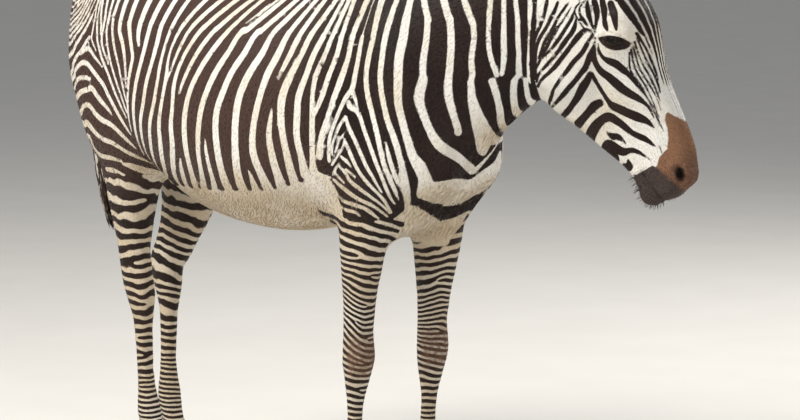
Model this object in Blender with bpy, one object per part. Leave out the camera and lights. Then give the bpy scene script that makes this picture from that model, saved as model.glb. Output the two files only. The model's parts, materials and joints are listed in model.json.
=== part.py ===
"""A Grevy's zebra standing at rest, life size, in metres with +Z up and its nose towards +X.

The flesh is one body made of lofted tubes and muscle masses, fused, smoothed and then parted by
thin cuts into head, neck, trunk and legs. Eyes, ears, hooves, mane and tail are pieces of their own.
"""

import math

import bmesh
import bpy
import numpy as np
from mathutils import Matrix, Vector

# Driving sizes of the animal, in metres.
GAP = 0.0003
HOOF_SIDE_FORE = 0.117
HOOF_SIDE_HIND = 0.104
KNEE_X = 0.372
FORE_STEP = {"right": -0.014, "left": 0.004}
HIND_STEP = {"right": 0.0, "left": -0.140}
FORE_BREADTH = {"right": 1.0, "left": 1.09}
HIND_BREADTH = {"right": 0.94, "left": 1.15}
HEAD_ORIGIN = Vector((0.86, 0.145, 1.44))
HEAD_YAW = math.radians(30)
HEAD_PITCH = math.radians(60)
EYE_PLACE = (0.212, -0.003, 0.0815)
EYE_RADIUS = 0.0230
EAR_LENGTH = 0.212
EAR_WIDTH = 0.062
EAR_WALL = 0.006
MANE_HEIGHT = 0.105
HOOF_TOE_HEIGHT = 0.083
HOOF_HEEL_HEIGHT = 0.048

# Fineness of the fused flesh.
VOXEL = 0.011
SOFTENING_ROUNDS = 22
FLESH_TRIANGLES = 3980

SIDES = {"right": -1, "left": 1}
AHEAD = Vector((1, 0, 0))
LEFT = Vector((0, 1, 0))
UP = Vector((0, 0, 1))

# Trunk sections: x, back height, belly height, half width, height of the widest place.
TRUNK = [
    (-0.826, 1.250, 1.045, 0.090, 1.150),
    (-0.778, 1.325, 0.962, 0.160, 1.155),
    (-0.680, 1.390, 0.895, 0.215, 1.165),
    (-0.560, 1.430, 0.850, 0.235, 1.150),
    (-0.430, 1.445, 0.832, 0.245, 1.110),
    (-0.280, 1.425, 0.762, 0.268, 1.050),
    (-0.100, 1.402, 0.729, 0.288, 1.010),
    (0.070, 1.398, 0.729, 0.285, 0.995),
    (0.210, 1.432, 0.758, 0.252, 1.000),
    (0.330, 1.466, 0.738, 0.215, 1.020),
    (0.450, 1.430, 0.750, 0.190, 1.020),
    (0.550, 1.330, 0.820, 0.165, 1.000),
    (0.612, 1.200, 0.885, 0.125, 1.010),
]

# Neck sections: crest point, throat point, half width.
NECK = [
    ((0.180, 0.000, 1.440), (0.480, 0.000, 0.880), 0.150),
    ((0.330, 0.000, 1.468), (0.605, 0.000, 0.930), 0.132),
    ((0.470, 0.018, 1.468), (0.690, 0.024, 0.998), 0.112),
    ((0.600, 0.053, 1.462), (0.742, 0.070, 1.062), 0.096),
    ((0.720, 0.095, 1.458), (0.788, 0.112, 1.120), 0.086),
    ((0.820, 0.133, 1.452), (0.850, 0.150, 1.155), 0.080),
]

# Head sections, in the head's frame: distance from the poll, top, bottom, half width, widest level.
SKULL = [
    (-0.045, -0.002, -0.090, 0.050, -0.040),
    (0.010, 0.064, -0.115, 0.072, 0.000),
    (0.090, 0.092, -0.140, 0.086, 0.010),
    (0.165, 0.100, -0.155, 0.091, 0.020),
    (0.215, 0.096, -0.160, 0.090, 0.022),
    (0.270, 0.078, -0.155, 0.079, 0.008),
    (0.340, 0.055, -0.150, 0.062, -0.012),
    (0.430, 0.043, -0.132, 0.049, -0.032),
    (0.510, 0.033, -0.112, 0.049, -0.045),
    (0.565, 0.012, -0.100, 0.050, -0.045),
    (0.598, -0.018, -0.090, 0.038, -0.050),
]
JAW = [
    (0.105, -0.050, -0.150, 0.030, -0.100),
    (0.150, -0.040, -0.208, 0.048, -0.120),
    (0.210, -0.040, -0.238, 0.056, -0.130),
    (0.270, -0.050, -0.240, 0.056, -0.140),
    (0.335, -0.060, -0.210, 0.044, -0.130),
    (0.420, -0.070, -0.177, 0.035, -0.120),
    (0.500, -0.080, -0.145, 0.034, -0.110),
    (0.560, -0.090, -0.143, 0.037, -0.117),
    (0.592, -0.100, -0.135, 0.030, -0.118),
]
# Masses of the head: place, radii, both in the head's frame; w above zero makes a pair.
HEAD_MASSES = [
    ((0.190, -0.115, 0.050), (0.105, 0.112, 0.036)),
    ((0.180, 0.038, 0.072), (0.058, 0.034, 0.030)),
    ((0.212, -0.002, 0.074), (0.048, 0.043, 0.0265)),
    ((0.285, -0.018, 0.058), (0.085, 0.016, 0.017)),
    ((0.555, -0.030, 0.036), (0.036, 0.032, 0.022)),
    ((0.580, -0.066, 0.014), (0.032, 0.044, 0.034)),
    ((0.570, -0.120, 0.008), (0.036, 0.030, 0.030)),
    ((0.028, 0.048, 0.054), (0.042, 0.038, 0.036)),
]

# Fore leg sections down from the shoulder: x from the knee, side, height, half width, front, back.
FORE_LEG = [
    (0.020, -0.020, 1.020, 0.060, 0.120, 0.110),
    (0.015, -0.012, 0.900, 0.068, 0.115, 0.098),
    (0.010, -0.005, 0.800, 0.060, 0.096, 0.068),
    (0.008, 0.000, 0.700, 0.050, 0.073, 0.057),
    (0.004, 0.000, 0.600, 0.040, 0.051, 0.047),
    (0.000, 0.000, 0.515, 0.038, 0.041, 0.041),
    (0.000, 0.000, 0.450, 0.043, 0.045, 0.041),
    (-0.004, 0.000, 0.395, 0.035, 0.033, 0.037),
    (-0.009, 0.000, 0.340, 0.0230, 0.024, 0.029),
    (-0.014, 0.000, 0.250, 0.0225, 0.023, 0.029),
    (-0.018, 0.000, 0.190, 0.0325, 0.031, 0.040),
    (-0.008, 0.000, 0.145, 0.0300, 0.031, 0.034),
    (0.016, 0.000, 0.085, 0.0370, 0.041, 0.037),
    (0.030, 0.000, 0.030, 0.0390, 0.048, 0.044),
]
# Hind leg sections down from the hip, x from the hock.
HIND_LEG = [
    (-0.060, -0.010, 1.120, 0.080, 0.150, 0.130),
    (-0.015, 0.000, 0.980, 0.092, 0.150, 0.180),
    (0.020, 0.002, 0.880, 0.084, 0.066, 0.190),
    (-0.002, 0.002, 0.790, 0.064, 0.050, 0.140),
    (-0.022, 0.002, 0.700, 0.047, 0.054, 0.088),
    (-0.030, 0.000, 0.630, 0.039, 0.052, 0.060),
    (-0.024, 0.000, 0.575, 0.038, 0.054, 0.054),
    (-0.006, 0.000, 0.515, 0.037, 0.046, 0.052),
    (0.006, 0.000, 0.450, 0.028, 0.027, 0.037),
    (0.012, 0.000, 0.370, 0.0255, 0.021, 0.034),
    (0.020, 0.000, 0.270, 0.0255, 0.023, 0.034),
    (0.030, 0.000, 0.200, 0.0330, 0.034, 0.041),
    (0.044, 0.000, 0.150, 0.0300, 0.033, 0.037),
    (0.072, 0.000, 0.090, 0.0355, 0.040, 0.037),
    (0.088, 0.000, 0.030, 0.0370, 0.046, 0.042),
]
# Ear sections up from the root: share of the length, share of the width, half the turn it rolls through.
EAR = [
    (-0.10, 0.40, 150),
    (0.02, 0.56, 148),
    (0.15, 0.68, 136),
    (0.30, 0.86, 112),
    (0.46, 1.00, 92),
    (0.62, 0.98, 78),
    (0.76, 0.84, 68),
    (0.88, 0.60, 60),
    (0.96, 0.34, 54),
    (1.00, 0.12, 50),
]
# Hoof sections up from the sole: height, half length, half width, shift forward.
HOOF = [
    (0.000, 0.060, 0.048, 0.014),
    (0.045, 0.052, 0.044, 0.000),
    (0.110, 0.043, 0.037, -0.020),
]
HOCK_X = -0.526
STEP_TOP = 0.82
STEP_LOW = 0.56
STEP_LEAN = 0.73

# Muscle masses in pairs: place on the left side, radii, tilt about the side axis in degrees.
MUSCLES = [
    ((0.300, 0.105, 1.200), (0.110, 0.072, 0.250), 24),
    ((0.250, 0.128, 0.960), (0.150, 0.085, 0.130), -25),
    ((0.472, 0.108, 0.960), (0.122, 0.088, 0.165), 0),
    ((0.562, 0.070, 0.968), (0.105, 0.075, 0.125), 0),
    ((0.430, 0.085, 0.824), (0.105, 0.068, 0.080), 0),
    ((-0.520, 0.112, 1.230), (0.270, 0.125, 0.175), 12),
    ((-0.550, 0.140, 1.060), (0.182, 0.092, 0.220), 0),
    ((-0.692, 0.085, 1.128), (0.112, 0.085, 0.180), -8),
    ((-0.450, 0.140, 0.985), (0.105, 0.068, 0.120), 25),
]


def clear_scene():
    for obj in list(bpy.data.objects):
        bpy.data.objects.remove(obj, do_unlink=True)


def smooth_rows(rows, per_span):
    """Rows of numbers read along a smooth curve through them, spaced by their first-to-last distance."""
    rows = np.array(rows, float)
    steps = np.linalg.norm(np.diff(rows, axis=0), axis=1)
    slopes = np.diff(rows, axis=0) / steps[:, None]
    inner = slopes[:-1] * steps[1:, None] + slopes[1:] * steps[:-1, None]
    inner /= (steps[:-1] + steps[1:])[:, None]
    tangents = np.vstack([slopes[:1], inner, slopes[-1:]])
    out = []
    for i, step in enumerate(steps):
        for t in np.linspace(0, 1, per_span, endpoint=False):
            a = 2 * t**3 - 3 * t**2 + 1
            b = (t**3 - 2 * t**2 + t) * step
            c = -2 * t**3 + 3 * t**2
            d = (t**3 - t**2) * step
            out.append(a * rows[i] + b * tangents[i] + c * rows[i + 1] + d * tangents[i + 1])
    out.append(rows[-1])
    return out


def oval(centre, side, up, width, rises, count, power):
    """One closed section: width to each side, rises along up and against it; power under 1 is squarer."""
    points = []
    for i in range(count):
        angle = 2 * math.pi * i / count
        across = math.copysign(abs(math.cos(angle)) ** power, math.cos(angle)) * width
        along = math.copysign(abs(math.sin(angle)) ** power, math.sin(angle))
        points.append(centre + side * across + up * along * rises[0 if along > 0 else 1])
    return points


def loft(bm, rings):
    """A closed tube through rings of equally many points, with flat ends."""
    loops = [[bm.verts.new(p) for p in ring] for ring in rings]
    count = len(loops[0])
    for low, high in zip(loops, loops[1:]):
        for i in range(count):
            j = (i + 1) % count
            bm.faces.new((low[i], low[j], high[j], high[i]))
    bm.faces.new(loops[0][::-1])
    bm.faces.new(loops[-1])


def mesh_object(name, bm, hidden=False):
    bmesh.ops.recalc_face_normals(bm, faces=bm.faces)
    mesh = bpy.data.meshes.new(name)
    bm.to_mesh(mesh)
    bm.free()
    obj = bpy.data.objects.new(name, mesh)
    bpy.context.scene.collection.objects.link(obj)
    if hidden:
        obj.hide_render = True
        obj.display_type = "WIRE"
    return obj


def head_axes():
    """The head's frame: u runs from the poll to the lips, v out of the forehead, w to the left."""
    ahead = Vector((math.cos(HEAD_YAW), math.sin(HEAD_YAW), 0))
    u = ahead * math.cos(HEAD_PITCH) - Vector((0, 0, math.sin(HEAD_PITCH)))
    v = ahead * math.sin(HEAD_PITCH) + Vector((0, 0, math.cos(HEAD_PITCH)))
    return u, v, u.cross(v) * -1


def head_point(u, v, w=0.0):
    axes = head_axes()
    return HEAD_ORIGIN + axes[0] * u + axes[1] * v + axes[2] * w


def head_rotation():
    return Matrix(head_axes()).transposed().to_4x4()


def trunk_rings():
    rings = []
    for x, back, belly, width, level in smooth_rows(TRUNK, 3):
        centre = Vector((x, 0, level))
        rings.append(oval(centre, LEFT, UP, width, (back - level, level - belly), 40, 0.92))
    return rings


def neck_rings():
    rings = []
    flat = [(*crest, *throat, width) for crest, throat, width in NECK]
    rows = smooth_rows(flat, 3)
    for i, row in enumerate(rows):
        crest = Vector(row[0:3])
        throat = Vector(row[3:6])
        before = rows[max(i - 1, 0)]
        after = rows[min(i + 1, len(rows) - 1)]
        path = Vector(after[0:3] + after[3:6]) - Vector(before[0:3] + before[3:6])
        up = (crest - throat).normalized()
        side = up.cross(path).normalized()
        half = (crest - throat).length / 2
        rings.append(oval((crest + throat) / 2, side, up, row[6], (half, half), 32, 0.95))
    return rings


def head_rings(rows, power):
    u_axis, v_axis, w_axis = head_axes()
    rings = []
    for u, top, bottom, width, level in smooth_rows(rows, 3):
        rises = (top - level, level - bottom)
        rings.append(oval(head_point(u, level), w_axis, v_axis, width, rises, 28, power))
    return rings


def step_share(z):
    """How much of a hind foot's step a height takes: none at the stifle, all at the hock, more below."""
    if z < STEP_LOW:
        return 1 + STEP_LEAN * (STEP_LOW - z)
    return max(0.0, (STEP_TOP - z) / (STEP_TOP - STEP_LOW)) ** 1.8


def leg_rings(rows, base_x, base_y, side, breadth, step=0.0):
    """A leg whose foot is moved by a step, which fades out upwards; breadth widens its muscled top."""
    rings = []
    for x, inward, z, width, front, back in smooth_rows(rows, 3):
        shift = step * step_share(z)
        slant = math.hypot(1, (step * step_share(z - 0.02) - shift) / 0.02)
        slant *= 1 + (breadth - 1) * min(1, max(0, (z - 0.52) / 0.12))
        centre = Vector((base_x + x + shift, side * (base_y + inward), z))
        rings.append(oval(centre, LEFT, AHEAD, width, (front * slant, back * slant), 24, 0.94))
    return rings


def add_mass(bm, place, radii, turn):
    """An ellipsoid mass: radii in its own frame, then turned, then placed."""
    matrix = Matrix.Translation(place) @ turn @ Matrix.Diagonal((*radii, 1))
    bmesh.ops.create_icosphere(bm, subdivisions=4, radius=1, matrix=matrix)


def add_muscles(bm):
    for side in SIDES.values():
        for (x, y, z), radii, tilt in MUSCLES:
            turn = Matrix.Rotation(math.radians(tilt), 4, "Y")
            add_mass(bm, Vector((x, side * y, z)), radii, turn)
    for side in SIDES.values():
        for (u, v, w), radii in HEAD_MASSES:
            add_mass(bm, head_point(u, v, side * w), radii, head_rotation())


def hind_x(name, z):
    """Where a hind leg's line stands at a height, before its own sections' offsets."""
    return HOCK_X + HIND_STEP[name] * step_share(z)


def rough_flesh():
    bm = bmesh.new()
    loft(bm, trunk_rings())
    loft(bm, neck_rings())
    loft(bm, head_rings(SKULL, 0.86))
    loft(bm, head_rings(JAW, 0.90))
    for name, side in SIDES.items():
        knee = KNEE_X + FORE_STEP[name]
        loft(bm, leg_rings(FORE_LEG, knee, HOOF_SIDE_FORE, side, FORE_BREADTH[name]))
        wide = HIND_BREADTH[name]
        loft(bm, leg_rings(HIND_LEG, HOCK_X, HOOF_SIDE_HIND, side, wide, HIND_STEP[name]))
    add_muscles(bm)
    return mesh_object("flesh", bm, hidden=True)


def applied(obj):
    """The object with its modifiers worked into its mesh."""
    graph = bpy.context.evaluated_depsgraph_get()
    mesh = bpy.data.meshes.new_from_object(obj.evaluated_get(graph))
    obj.modifiers.clear()
    obj.data = mesh
    return obj


def softness(point):
    """How far the fused surface is smoothed: full on the trunk, little on head and lower legs."""
    in_head = head_matrix_inverse() @ point
    if in_head.x > -0.02 and point.x > 0.72:
        return 0.22
    if point.z < 0.55:
        return 0.12
    if point.z < 0.80:
        return 0.12 + 0.88 * (point.z - 0.55) / 0.25
    return 1.0


def head_matrix_inverse():
    return (Matrix.Translation(HEAD_ORIGIN) @ head_rotation()).inverted()


def fused_flesh():
    obj = rough_flesh()
    fuse = obj.modifiers.new("Fuse", "REMESH")
    fuse.mode = "VOXEL"
    fuse.voxel_size = VOXEL
    applied(obj)
    group = obj.vertex_groups.new(name="soft")
    for vertex in obj.data.vertices:
        group.add([vertex.index], softness(vertex.co), "REPLACE")
    soften = obj.modifiers.new("Soften", "SMOOTH")
    soften.factor = 0.5
    soften.iterations = SOFTENING_ROUNDS
    soften.vertex_group = "soft"
    applied(obj)
    return thinned(obj, FLESH_TRIANGLES)


def thinned(obj, triangles):
    obj.data.calc_loop_triangles()
    thin = obj.modifiers.new("Thin", "DECIMATE")
    thin.ratio = triangles / len(obj.data.loop_triangles)
    thin.use_collapse_triangulate = True
    return applied(obj)


def boolean(obj, cutter, operation):
    step = obj.modifiers.new(operation, "BOOLEAN")
    step.operation = operation
    step.object = cutter
    return applied(obj)


def copy_of(obj, name):
    copy = obj.copy()
    copy.data = obj.data.copy()
    copy.name = name
    bpy.context.scene.collection.objects.link(copy)
    return copy


def box_cutter(corner_low, corner_high, matrix, grow):
    bm = bmesh.new()
    low = Vector(corner_low) - Vector((grow, grow, grow))
    high = Vector(corner_high) + Vector((grow, grow, grow))
    scale = Matrix.Diagonal((*(high - low), 1))
    bmesh.ops.create_cube(bm, size=1, matrix=matrix @ Matrix.Translation((low + high) / 2) @ scale)
    return mesh_object("cutter", bm, hidden=True)


def ball_cutter(place, radii, turn, grow):
    bm = bmesh.new()
    grown = tuple(r + grow for r in radii)
    matrix = Matrix.Translation(place) @ turn @ Matrix.Diagonal((*grown, 1))
    bmesh.ops.create_uvsphere(bm, u_segments=20, v_segments=12, radius=1, matrix=matrix)
    return mesh_object("cutter", bm, hidden=True)


def part_off(body, name, make_cutter):
    """Takes the share of the body inside a region as a piece of its own, with a thin gap left between."""
    piece = copy_of(body, name)
    inner = make_cutter(0.0)
    boolean(piece, inner, "INTERSECT")
    outer = make_cutter(GAP)
    boolean(body, outer, "DIFFERENCE")
    bpy.data.objects.remove(inner)
    bpy.data.objects.remove(outer)
    piece.hide_render = False
    piece.display_type = "TEXTURED"
    return piece


def head_region(grow):
    """Everything in front of a plane from behind the ears down to behind the jaw."""
    lean = math.atan2(0.34, 0.185)
    tilt = Matrix.Rotation(math.pi / 2 - lean, 4, "Z")
    matrix = Matrix.Translation(HEAD_ORIGIN) @ head_rotation() @ Matrix.Translation((-0.050, 0.070, 0)) @ tilt
    return box_cutter((0, -0.60, -0.40), (0.90, 0.30, 0.40), matrix, grow)


def neck_region(grow):
    """Everything in front of a plane from the withers down to the breast."""
    lean = Matrix.Rotation(math.radians(-33), 4, "Y")
    matrix = Matrix.Translation((0.300, 0, 1.50)) @ lean
    return box_cutter((0, -0.40, -0.66), (0.90, 0.50, 0.40), matrix, grow)


def fore_leg_region(side):
    def make(grow):
        place = Vector((0.360, side * 0.205, 0.400))
        return ball_cutter(place, (0.200, 0.195, 0.520), Matrix.Identity(4), grow)

    return make


def hind_leg_region(name, side):
    def make(grow):
        place = Vector((hind_x(name, STEP_LOW) + 0.030, side * 0.205, 0.400))
        return ball_cutter(place, (0.235, 0.198, 0.560), Matrix.Identity(4), grow)

    return make


def hoof_frame(name, side):
    """The middle of each hoof's coronet, with its slope from toe down to heel."""
    fore = Vector((KNEE_X + FORE_STEP[name] + 0.028, side * HOOF_SIDE_FORE, 0))
    hind = Vector((hind_x(name, 0.06) + 0.086, side * HOOF_SIDE_HIND, 0))
    return {"fore": fore, "hind": hind}


def coronet_cutter(base, grow):
    """A block whose sloping top is the coronet."""
    slope = math.atan2(HOOF_TOE_HEIGHT - HOOF_HEEL_HEIGHT, 0.10)
    middle = (HOOF_TOE_HEIGHT + HOOF_HEEL_HEIGHT) / 2
    matrix = Matrix.Translation(base + Vector((0, 0, middle))) @ Matrix.Rotation(-slope, 4, "Y")
    return box_cutter((-0.16, -0.085, -0.20), (0.16, 0.085, 0), matrix, grow)


def hoof(name, base):
    """A hoof: flat sole, leaning toe wall, and a top that meets the coronet."""
    rings = []
    for height, length, width, shift in HOOF:
        centre = base + Vector((shift, 0, height))
        rings.append(oval(centre, LEFT, AHEAD, width, (length, length * 0.82), 24, 0.90))
    bm = bmesh.new()
    loft(bm, rings)
    piece = mesh_object(name, bm)
    block = coronet_cutter(base, -GAP)
    boolean(piece, block, "INTERSECT")
    bpy.data.objects.remove(block)
    return piece


def ear(name, side):
    """A tall rounded ear: a cup rolled into a tube at its root and opening towards the front."""
    u_axis, v_axis, w_axis = head_axes()
    outward = w_axis * side
    along = (Vector((0, 0, 1)) + outward * 0.30 - v_axis * 0.12).normalized()
    face = (v_axis + outward * 0.55 - u_axis * 0.25)
    face = (face - along * face.dot(along)).normalized()
    across = along.cross(face)
    root = head_point(0.028, 0.036, side * 0.054)
    rings = []
    for t, width, half_turn in EAR:
        outer = EAR_WIDTH * width
        wall = min(EAR_WALL, outer * 0.6)
        spread = math.radians(half_turn)
        centre = root + along * (EAR_LENGTH * t) + face * (0.012 * t * t)
        ring = []
        for radius, way in ((outer, 1.0), (outer - wall, -0.97)):
            for i in range(9):
                angle = spread * way * (i / 4 - 1)
                bow = across * math.sin(angle) - face * math.cos(angle) * 0.72
                ring.append(centre + bow * radius)
        rings.append(ring)
    bm = bmesh.new()
    loft(bm, rings)
    return mesh_object(name, bm)


def crest_path():
    """The line along which the mane stands: from between the ears down the crest to the withers."""
    crest = [(*head_point(0.095, 0.066), 0.042)]
    crest.append((*head_point(0.050, 0.036), 0.085))
    crest.append((*head_point(-0.020, -0.020), MANE_HEIGHT + 0.018))
    for (x, y, z), _, _ in reversed(NECK[1:5]):
        crest.append((x, y, z - 0.030, MANE_HEIGHT + 0.022))
    crest.append((0.240, 0.0, 1.430, MANE_HEIGHT * 0.85))
    crest.append((0.130, 0.0, 1.395, 0.045))
    return crest


def mane():
    """The stiff upright mane, a tall wedge that thins towards its top."""
    rows = smooth_rows(crest_path(), 3)
    rings = []
    for i, row in enumerate(rows):
        here = Vector(row[0:3])
        path = Vector(rows[min(i + 1, len(rows) - 1)][0:3]) - Vector(rows[max(i - 1, 0)][0:3])
        side = path.cross(Vector((0, 0, 1))).normalized()
        rise = side.cross(path).normalized()
        lean = (rise + Vector((0, 0, 0.4))).normalized()
        height = row[3]
        ring = []
        for across, up in ((-0.020, -0.03), (-0.017, 0.35), (-0.011, 0.80), (-0.005, 1.0)):
            ring.append(here + side * across + lean * height * up)
        for across, up in ((0.005, 1.0), (0.011, 0.80), (0.017, 0.35), (0.020, -0.03)):
            ring.append(here + side * across + lean * height * up)
        rings.append(ring)
    bm = bmesh.new()
    loft(bm, rings)
    return mesh_object("mane", bm)


def hanging(name, rows, count):
    """A tube down the tail: x, height, half width and half depth at each row."""
    rings = []
    for x, z, width, depth in smooth_rows(rows, 3):
        centre = Vector((x, 0, z))
        rings.append(oval(centre, LEFT, AHEAD, width, (depth, depth), count, 1.0))
    bm = bmesh.new()
    loft(bm, rings)
    return mesh_object(name, bm)


def tail_dock():
    rows = [
        (-0.730, 1.345, 0.024, 0.026),
        (-0.785, 1.310, 0.030, 0.030),
        (-0.832, 1.235, 0.028, 0.027),
        (-0.850, 1.140, 0.025, 0.024),
        (-0.842, 1.020, 0.023, 0.022),
    ]
    return hanging("tail_dock", rows, 12)


def tail_tuft():
    rows = [
        (-0.842, 1.020 - GAP, 0.023, 0.022),
        (-0.832, 0.950, 0.031, 0.028),
        (-0.815, 0.870, 0.037, 0.033),
        (-0.796, 0.790, 0.032, 0.028),
        (-0.782, 0.720, 0.019, 0.017),
        (-0.776, 0.680, 0.006, 0.006),
    ]
    return hanging("tail_tuft", rows, 12)


def swollen(obj):
    """A hidden copy grown by the gap, used to keep a neighbour clear of the object."""
    copy = copy_of(obj, "swollen")
    grow = copy.modifiers.new("Grow", "DISPLACE")
    grow.strength = GAP * 1.3
    grow.mid_level = 0.0
    applied(copy)
    copy.hide_render = True
    copy.display_type = "WIRE"
    return copy


def keep_clear(piece, neighbours):
    for neighbour in neighbours:
        block = swollen(neighbour)
        boolean(piece, block, "DIFFERENCE")
        bpy.data.objects.remove(block)
    return keep_largest(piece)


def keep_largest(piece):
    """Drops crumbs that a cut leaves beside the main body of a piece."""
    bm = bmesh.new()
    bm.from_mesh(piece.data)
    left = set(bm.verts)
    islands = []
    while left:
        stack = [left.pop()]
        island = set(stack)
        while stack:
            for edge in stack.pop().link_edges:
                for vertex in edge.verts:
                    if vertex not in island:
                        island.add(vertex)
                        stack.append(vertex)
        left -= island
        islands.append(island)
    islands.sort(key=len)
    for island in islands[:-1]:
        bmesh.ops.delete(bm, geom=list(island), context="VERTS")
    bm.to_mesh(piece.data)
    bm.free()
    return piece


def eye(name, side):
    bm = bmesh.new()
    u, v, w = EYE_PLACE
    matrix = Matrix.Translation(head_point(u, v, side * w))
    bmesh.ops.create_icosphere(bm, subdivisions=2, radius=EYE_RADIUS, matrix=matrix)
    return mesh_object(name, bm)


def socket_cutter(side):
    u, v, w = EYE_PLACE
    return ball_cutter(head_point(u, v, side * w), (EYE_RADIUS,) * 3, Matrix.Identity(4), GAP * 2)


def material(name, colour, roughness):
    made = bpy.data.materials.new(name)
    made.use_nodes = True
    shader = made.node_tree.nodes["Principled BSDF"]
    shader.inputs["Base Color"].default_value = (*colour, 1)
    shader.inputs["Roughness"].default_value = roughness
    shader.inputs["Metallic"].default_value = 0.0
    return made


def dress(pieces):
    finishes = {
        "eye": material("eye gloss", (0.020, 0.012, 0.010), 0.08),
        "hoof": material("hoof horn", (0.075, 0.062, 0.052), 0.45),
        "mane": material("mane hair", (0.160, 0.110, 0.080), 0.75),
        "tail": material("tail hair", (0.120, 0.085, 0.065), 0.75),
        "ear": material("ear coat", (0.420, 0.370, 0.310), 0.80),
    }
    coat = material("striped coat", (0.480, 0.430, 0.370), 0.72)
    for piece in pieces:
        kind = piece.name.split("_")[0]
        piece.data.materials.clear()
        piece.data.materials.append(finishes.get(kind, coat))
        piece.data.shade_smooth()
        piece.data.set_sharp_from_angle(angle=math.radians(50))


def settle(pieces):
    """Moves the whole animal so that the middle of its box stands over the origin, soles at zero."""
    corners = np.array([v.co for piece in pieces for v in piece.data.vertices])
    middle = (corners.min(axis=0) + corners.max(axis=0)) / 2
    shift = Matrix.Translation((-middle[0], -middle[1], -corners[:, 2].min()))
    for piece in pieces:
        piece.data.transform(shift)


def build():
    clear_scene()
    body = fused_flesh()
    pieces = []
    for name, side in SIDES.items():
        for end, base in hoof_frame(name, side).items():
            block = coronet_cutter(base, 0.0)
            boolean(body, block, "DIFFERENCE")
            bpy.data.objects.remove(block)
            pieces.append(hoof(f"hoof_{end}_{name}", base))
    for side in SIDES.values():
        socket = socket_cutter(side)
        boolean(body, socket, "DIFFERENCE")
        bpy.data.objects.remove(socket)
    flesh = [part_off(body, "head", head_region), part_off(body, "neck", neck_region)]
    for name, side in SIDES.items():
        flesh.append(part_off(body, f"fore_leg_{name}", fore_leg_region(side)))
        flesh.append(part_off(body, f"hind_leg_{name}", hind_leg_region(name, side)))
    body.name = "trunk"
    body.hide_render = False
    body.display_type = "TEXTURED"
    flesh.append(body)
    head, neck, trunk = flesh[0], flesh[1], flesh[-1]
    for name, side in SIDES.items():
        pieces.append(eye(f"eye_{name}", side))
        pieces.append(keep_clear(ear(f"ear_{name}", side), [head, neck]))
    pieces.append(keep_clear(mane(), [head, neck, trunk]))
    pieces.append(keep_clear(tail_dock(), [trunk]))
    pieces.append(tail_tuft())
    pieces.extend(flesh)
    dress(pieces)
    settle(pieces)


build()
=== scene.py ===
# %% [markdown]
# # A life-size zebra
# The animal stands on its four hooves with its head turned to its left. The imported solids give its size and
# outline. This lesson puts a living surface on them: one skin with its stripes, a short coat, a stiff mane,
# a tasselled tail, eyes with lids, horn hooves and soft ears.

# %% Load the frame
import json
import math

import bmesh
import bpy
import numpy as np
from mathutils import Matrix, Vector

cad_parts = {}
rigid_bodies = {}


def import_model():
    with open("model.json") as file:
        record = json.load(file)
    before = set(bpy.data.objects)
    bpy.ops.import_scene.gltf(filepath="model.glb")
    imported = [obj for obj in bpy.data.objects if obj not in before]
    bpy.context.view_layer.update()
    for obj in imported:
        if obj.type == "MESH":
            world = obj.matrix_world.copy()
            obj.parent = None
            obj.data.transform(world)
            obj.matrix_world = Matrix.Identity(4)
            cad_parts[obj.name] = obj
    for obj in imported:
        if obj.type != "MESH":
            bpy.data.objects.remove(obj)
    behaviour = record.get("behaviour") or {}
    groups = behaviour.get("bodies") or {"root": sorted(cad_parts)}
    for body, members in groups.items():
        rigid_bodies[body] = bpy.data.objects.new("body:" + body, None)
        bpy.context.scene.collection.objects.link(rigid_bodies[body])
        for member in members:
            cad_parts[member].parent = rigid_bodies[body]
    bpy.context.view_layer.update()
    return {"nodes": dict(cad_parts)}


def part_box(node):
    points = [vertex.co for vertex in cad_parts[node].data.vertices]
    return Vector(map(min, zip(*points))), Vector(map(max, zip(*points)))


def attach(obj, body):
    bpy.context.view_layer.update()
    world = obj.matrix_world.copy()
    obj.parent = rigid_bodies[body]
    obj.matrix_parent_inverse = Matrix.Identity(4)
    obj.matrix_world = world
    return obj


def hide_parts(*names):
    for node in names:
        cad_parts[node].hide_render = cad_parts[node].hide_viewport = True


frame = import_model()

# %% [markdown]
# ## Two sets of axes
# A body is easiest to describe along itself, and a turned head along its own length. The eyes' two solids say
# where the head is: the line through them is the head's width, and the head hangs 60 degrees nose down.
# `u` runs from the poll to the lips, `v` out of the forehead and `w` to the animal's left.

# %% Body and head axes
HEAD_PITCH = math.radians(60)
EYE_IN_HEAD = (0.212, -0.003)
EYE_RADIUS = 0.023
POLL_ON_BODY = Vector((0.86, 0.145, 1.44))


def middle(node):
    low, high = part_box(node)
    return (low + high) / 2


EYES = {side: middle(f"eye_{side}") for side in ("left", "right")}
HEAD_W = (EYES["left"] - EYES["right"]).normalized()
AHEAD = Vector((HEAD_W.y, -HEAD_W.x, 0))
UP = Vector((0, 0, 1))
HEAD_U = AHEAD * math.cos(HEAD_PITCH) - UP * math.sin(HEAD_PITCH)
HEAD_V = AHEAD * math.sin(HEAD_PITCH) + UP * math.cos(HEAD_PITCH)
POLL = (EYES["left"] + EYES["right"]) / 2 - HEAD_U * EYE_IN_HEAD[0] - HEAD_V * EYE_IN_HEAD[1]
HEAD_AXES = np.array([HEAD_U, HEAD_V, HEAD_W])
BODY_SHIFT = POLL - POLL_ON_BODY


def on_body(points):
    """Points of the model in the body's own coordinates, which are measured from under its middle."""
    return points - np.array(BODY_SHIFT)


def on_head(points):
    """Points of the model as u, v and w of the head."""
    return (points - np.array(POLL)) @ HEAD_AXES.T


def from_head(u, v, w):
    return POLL + HEAD_U * u + HEAD_V * v + HEAD_W * w


def ramp(values, start, end):
    """A smooth rise from 0 at start to 1 at end; start may be the larger."""
    t = np.clip((values - start) / (end - start), 0, 1)
    return t * t * (3 - 2 * t)


print("shift of the body:", [round(c, 4) for c in BODY_SHIFT])

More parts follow.
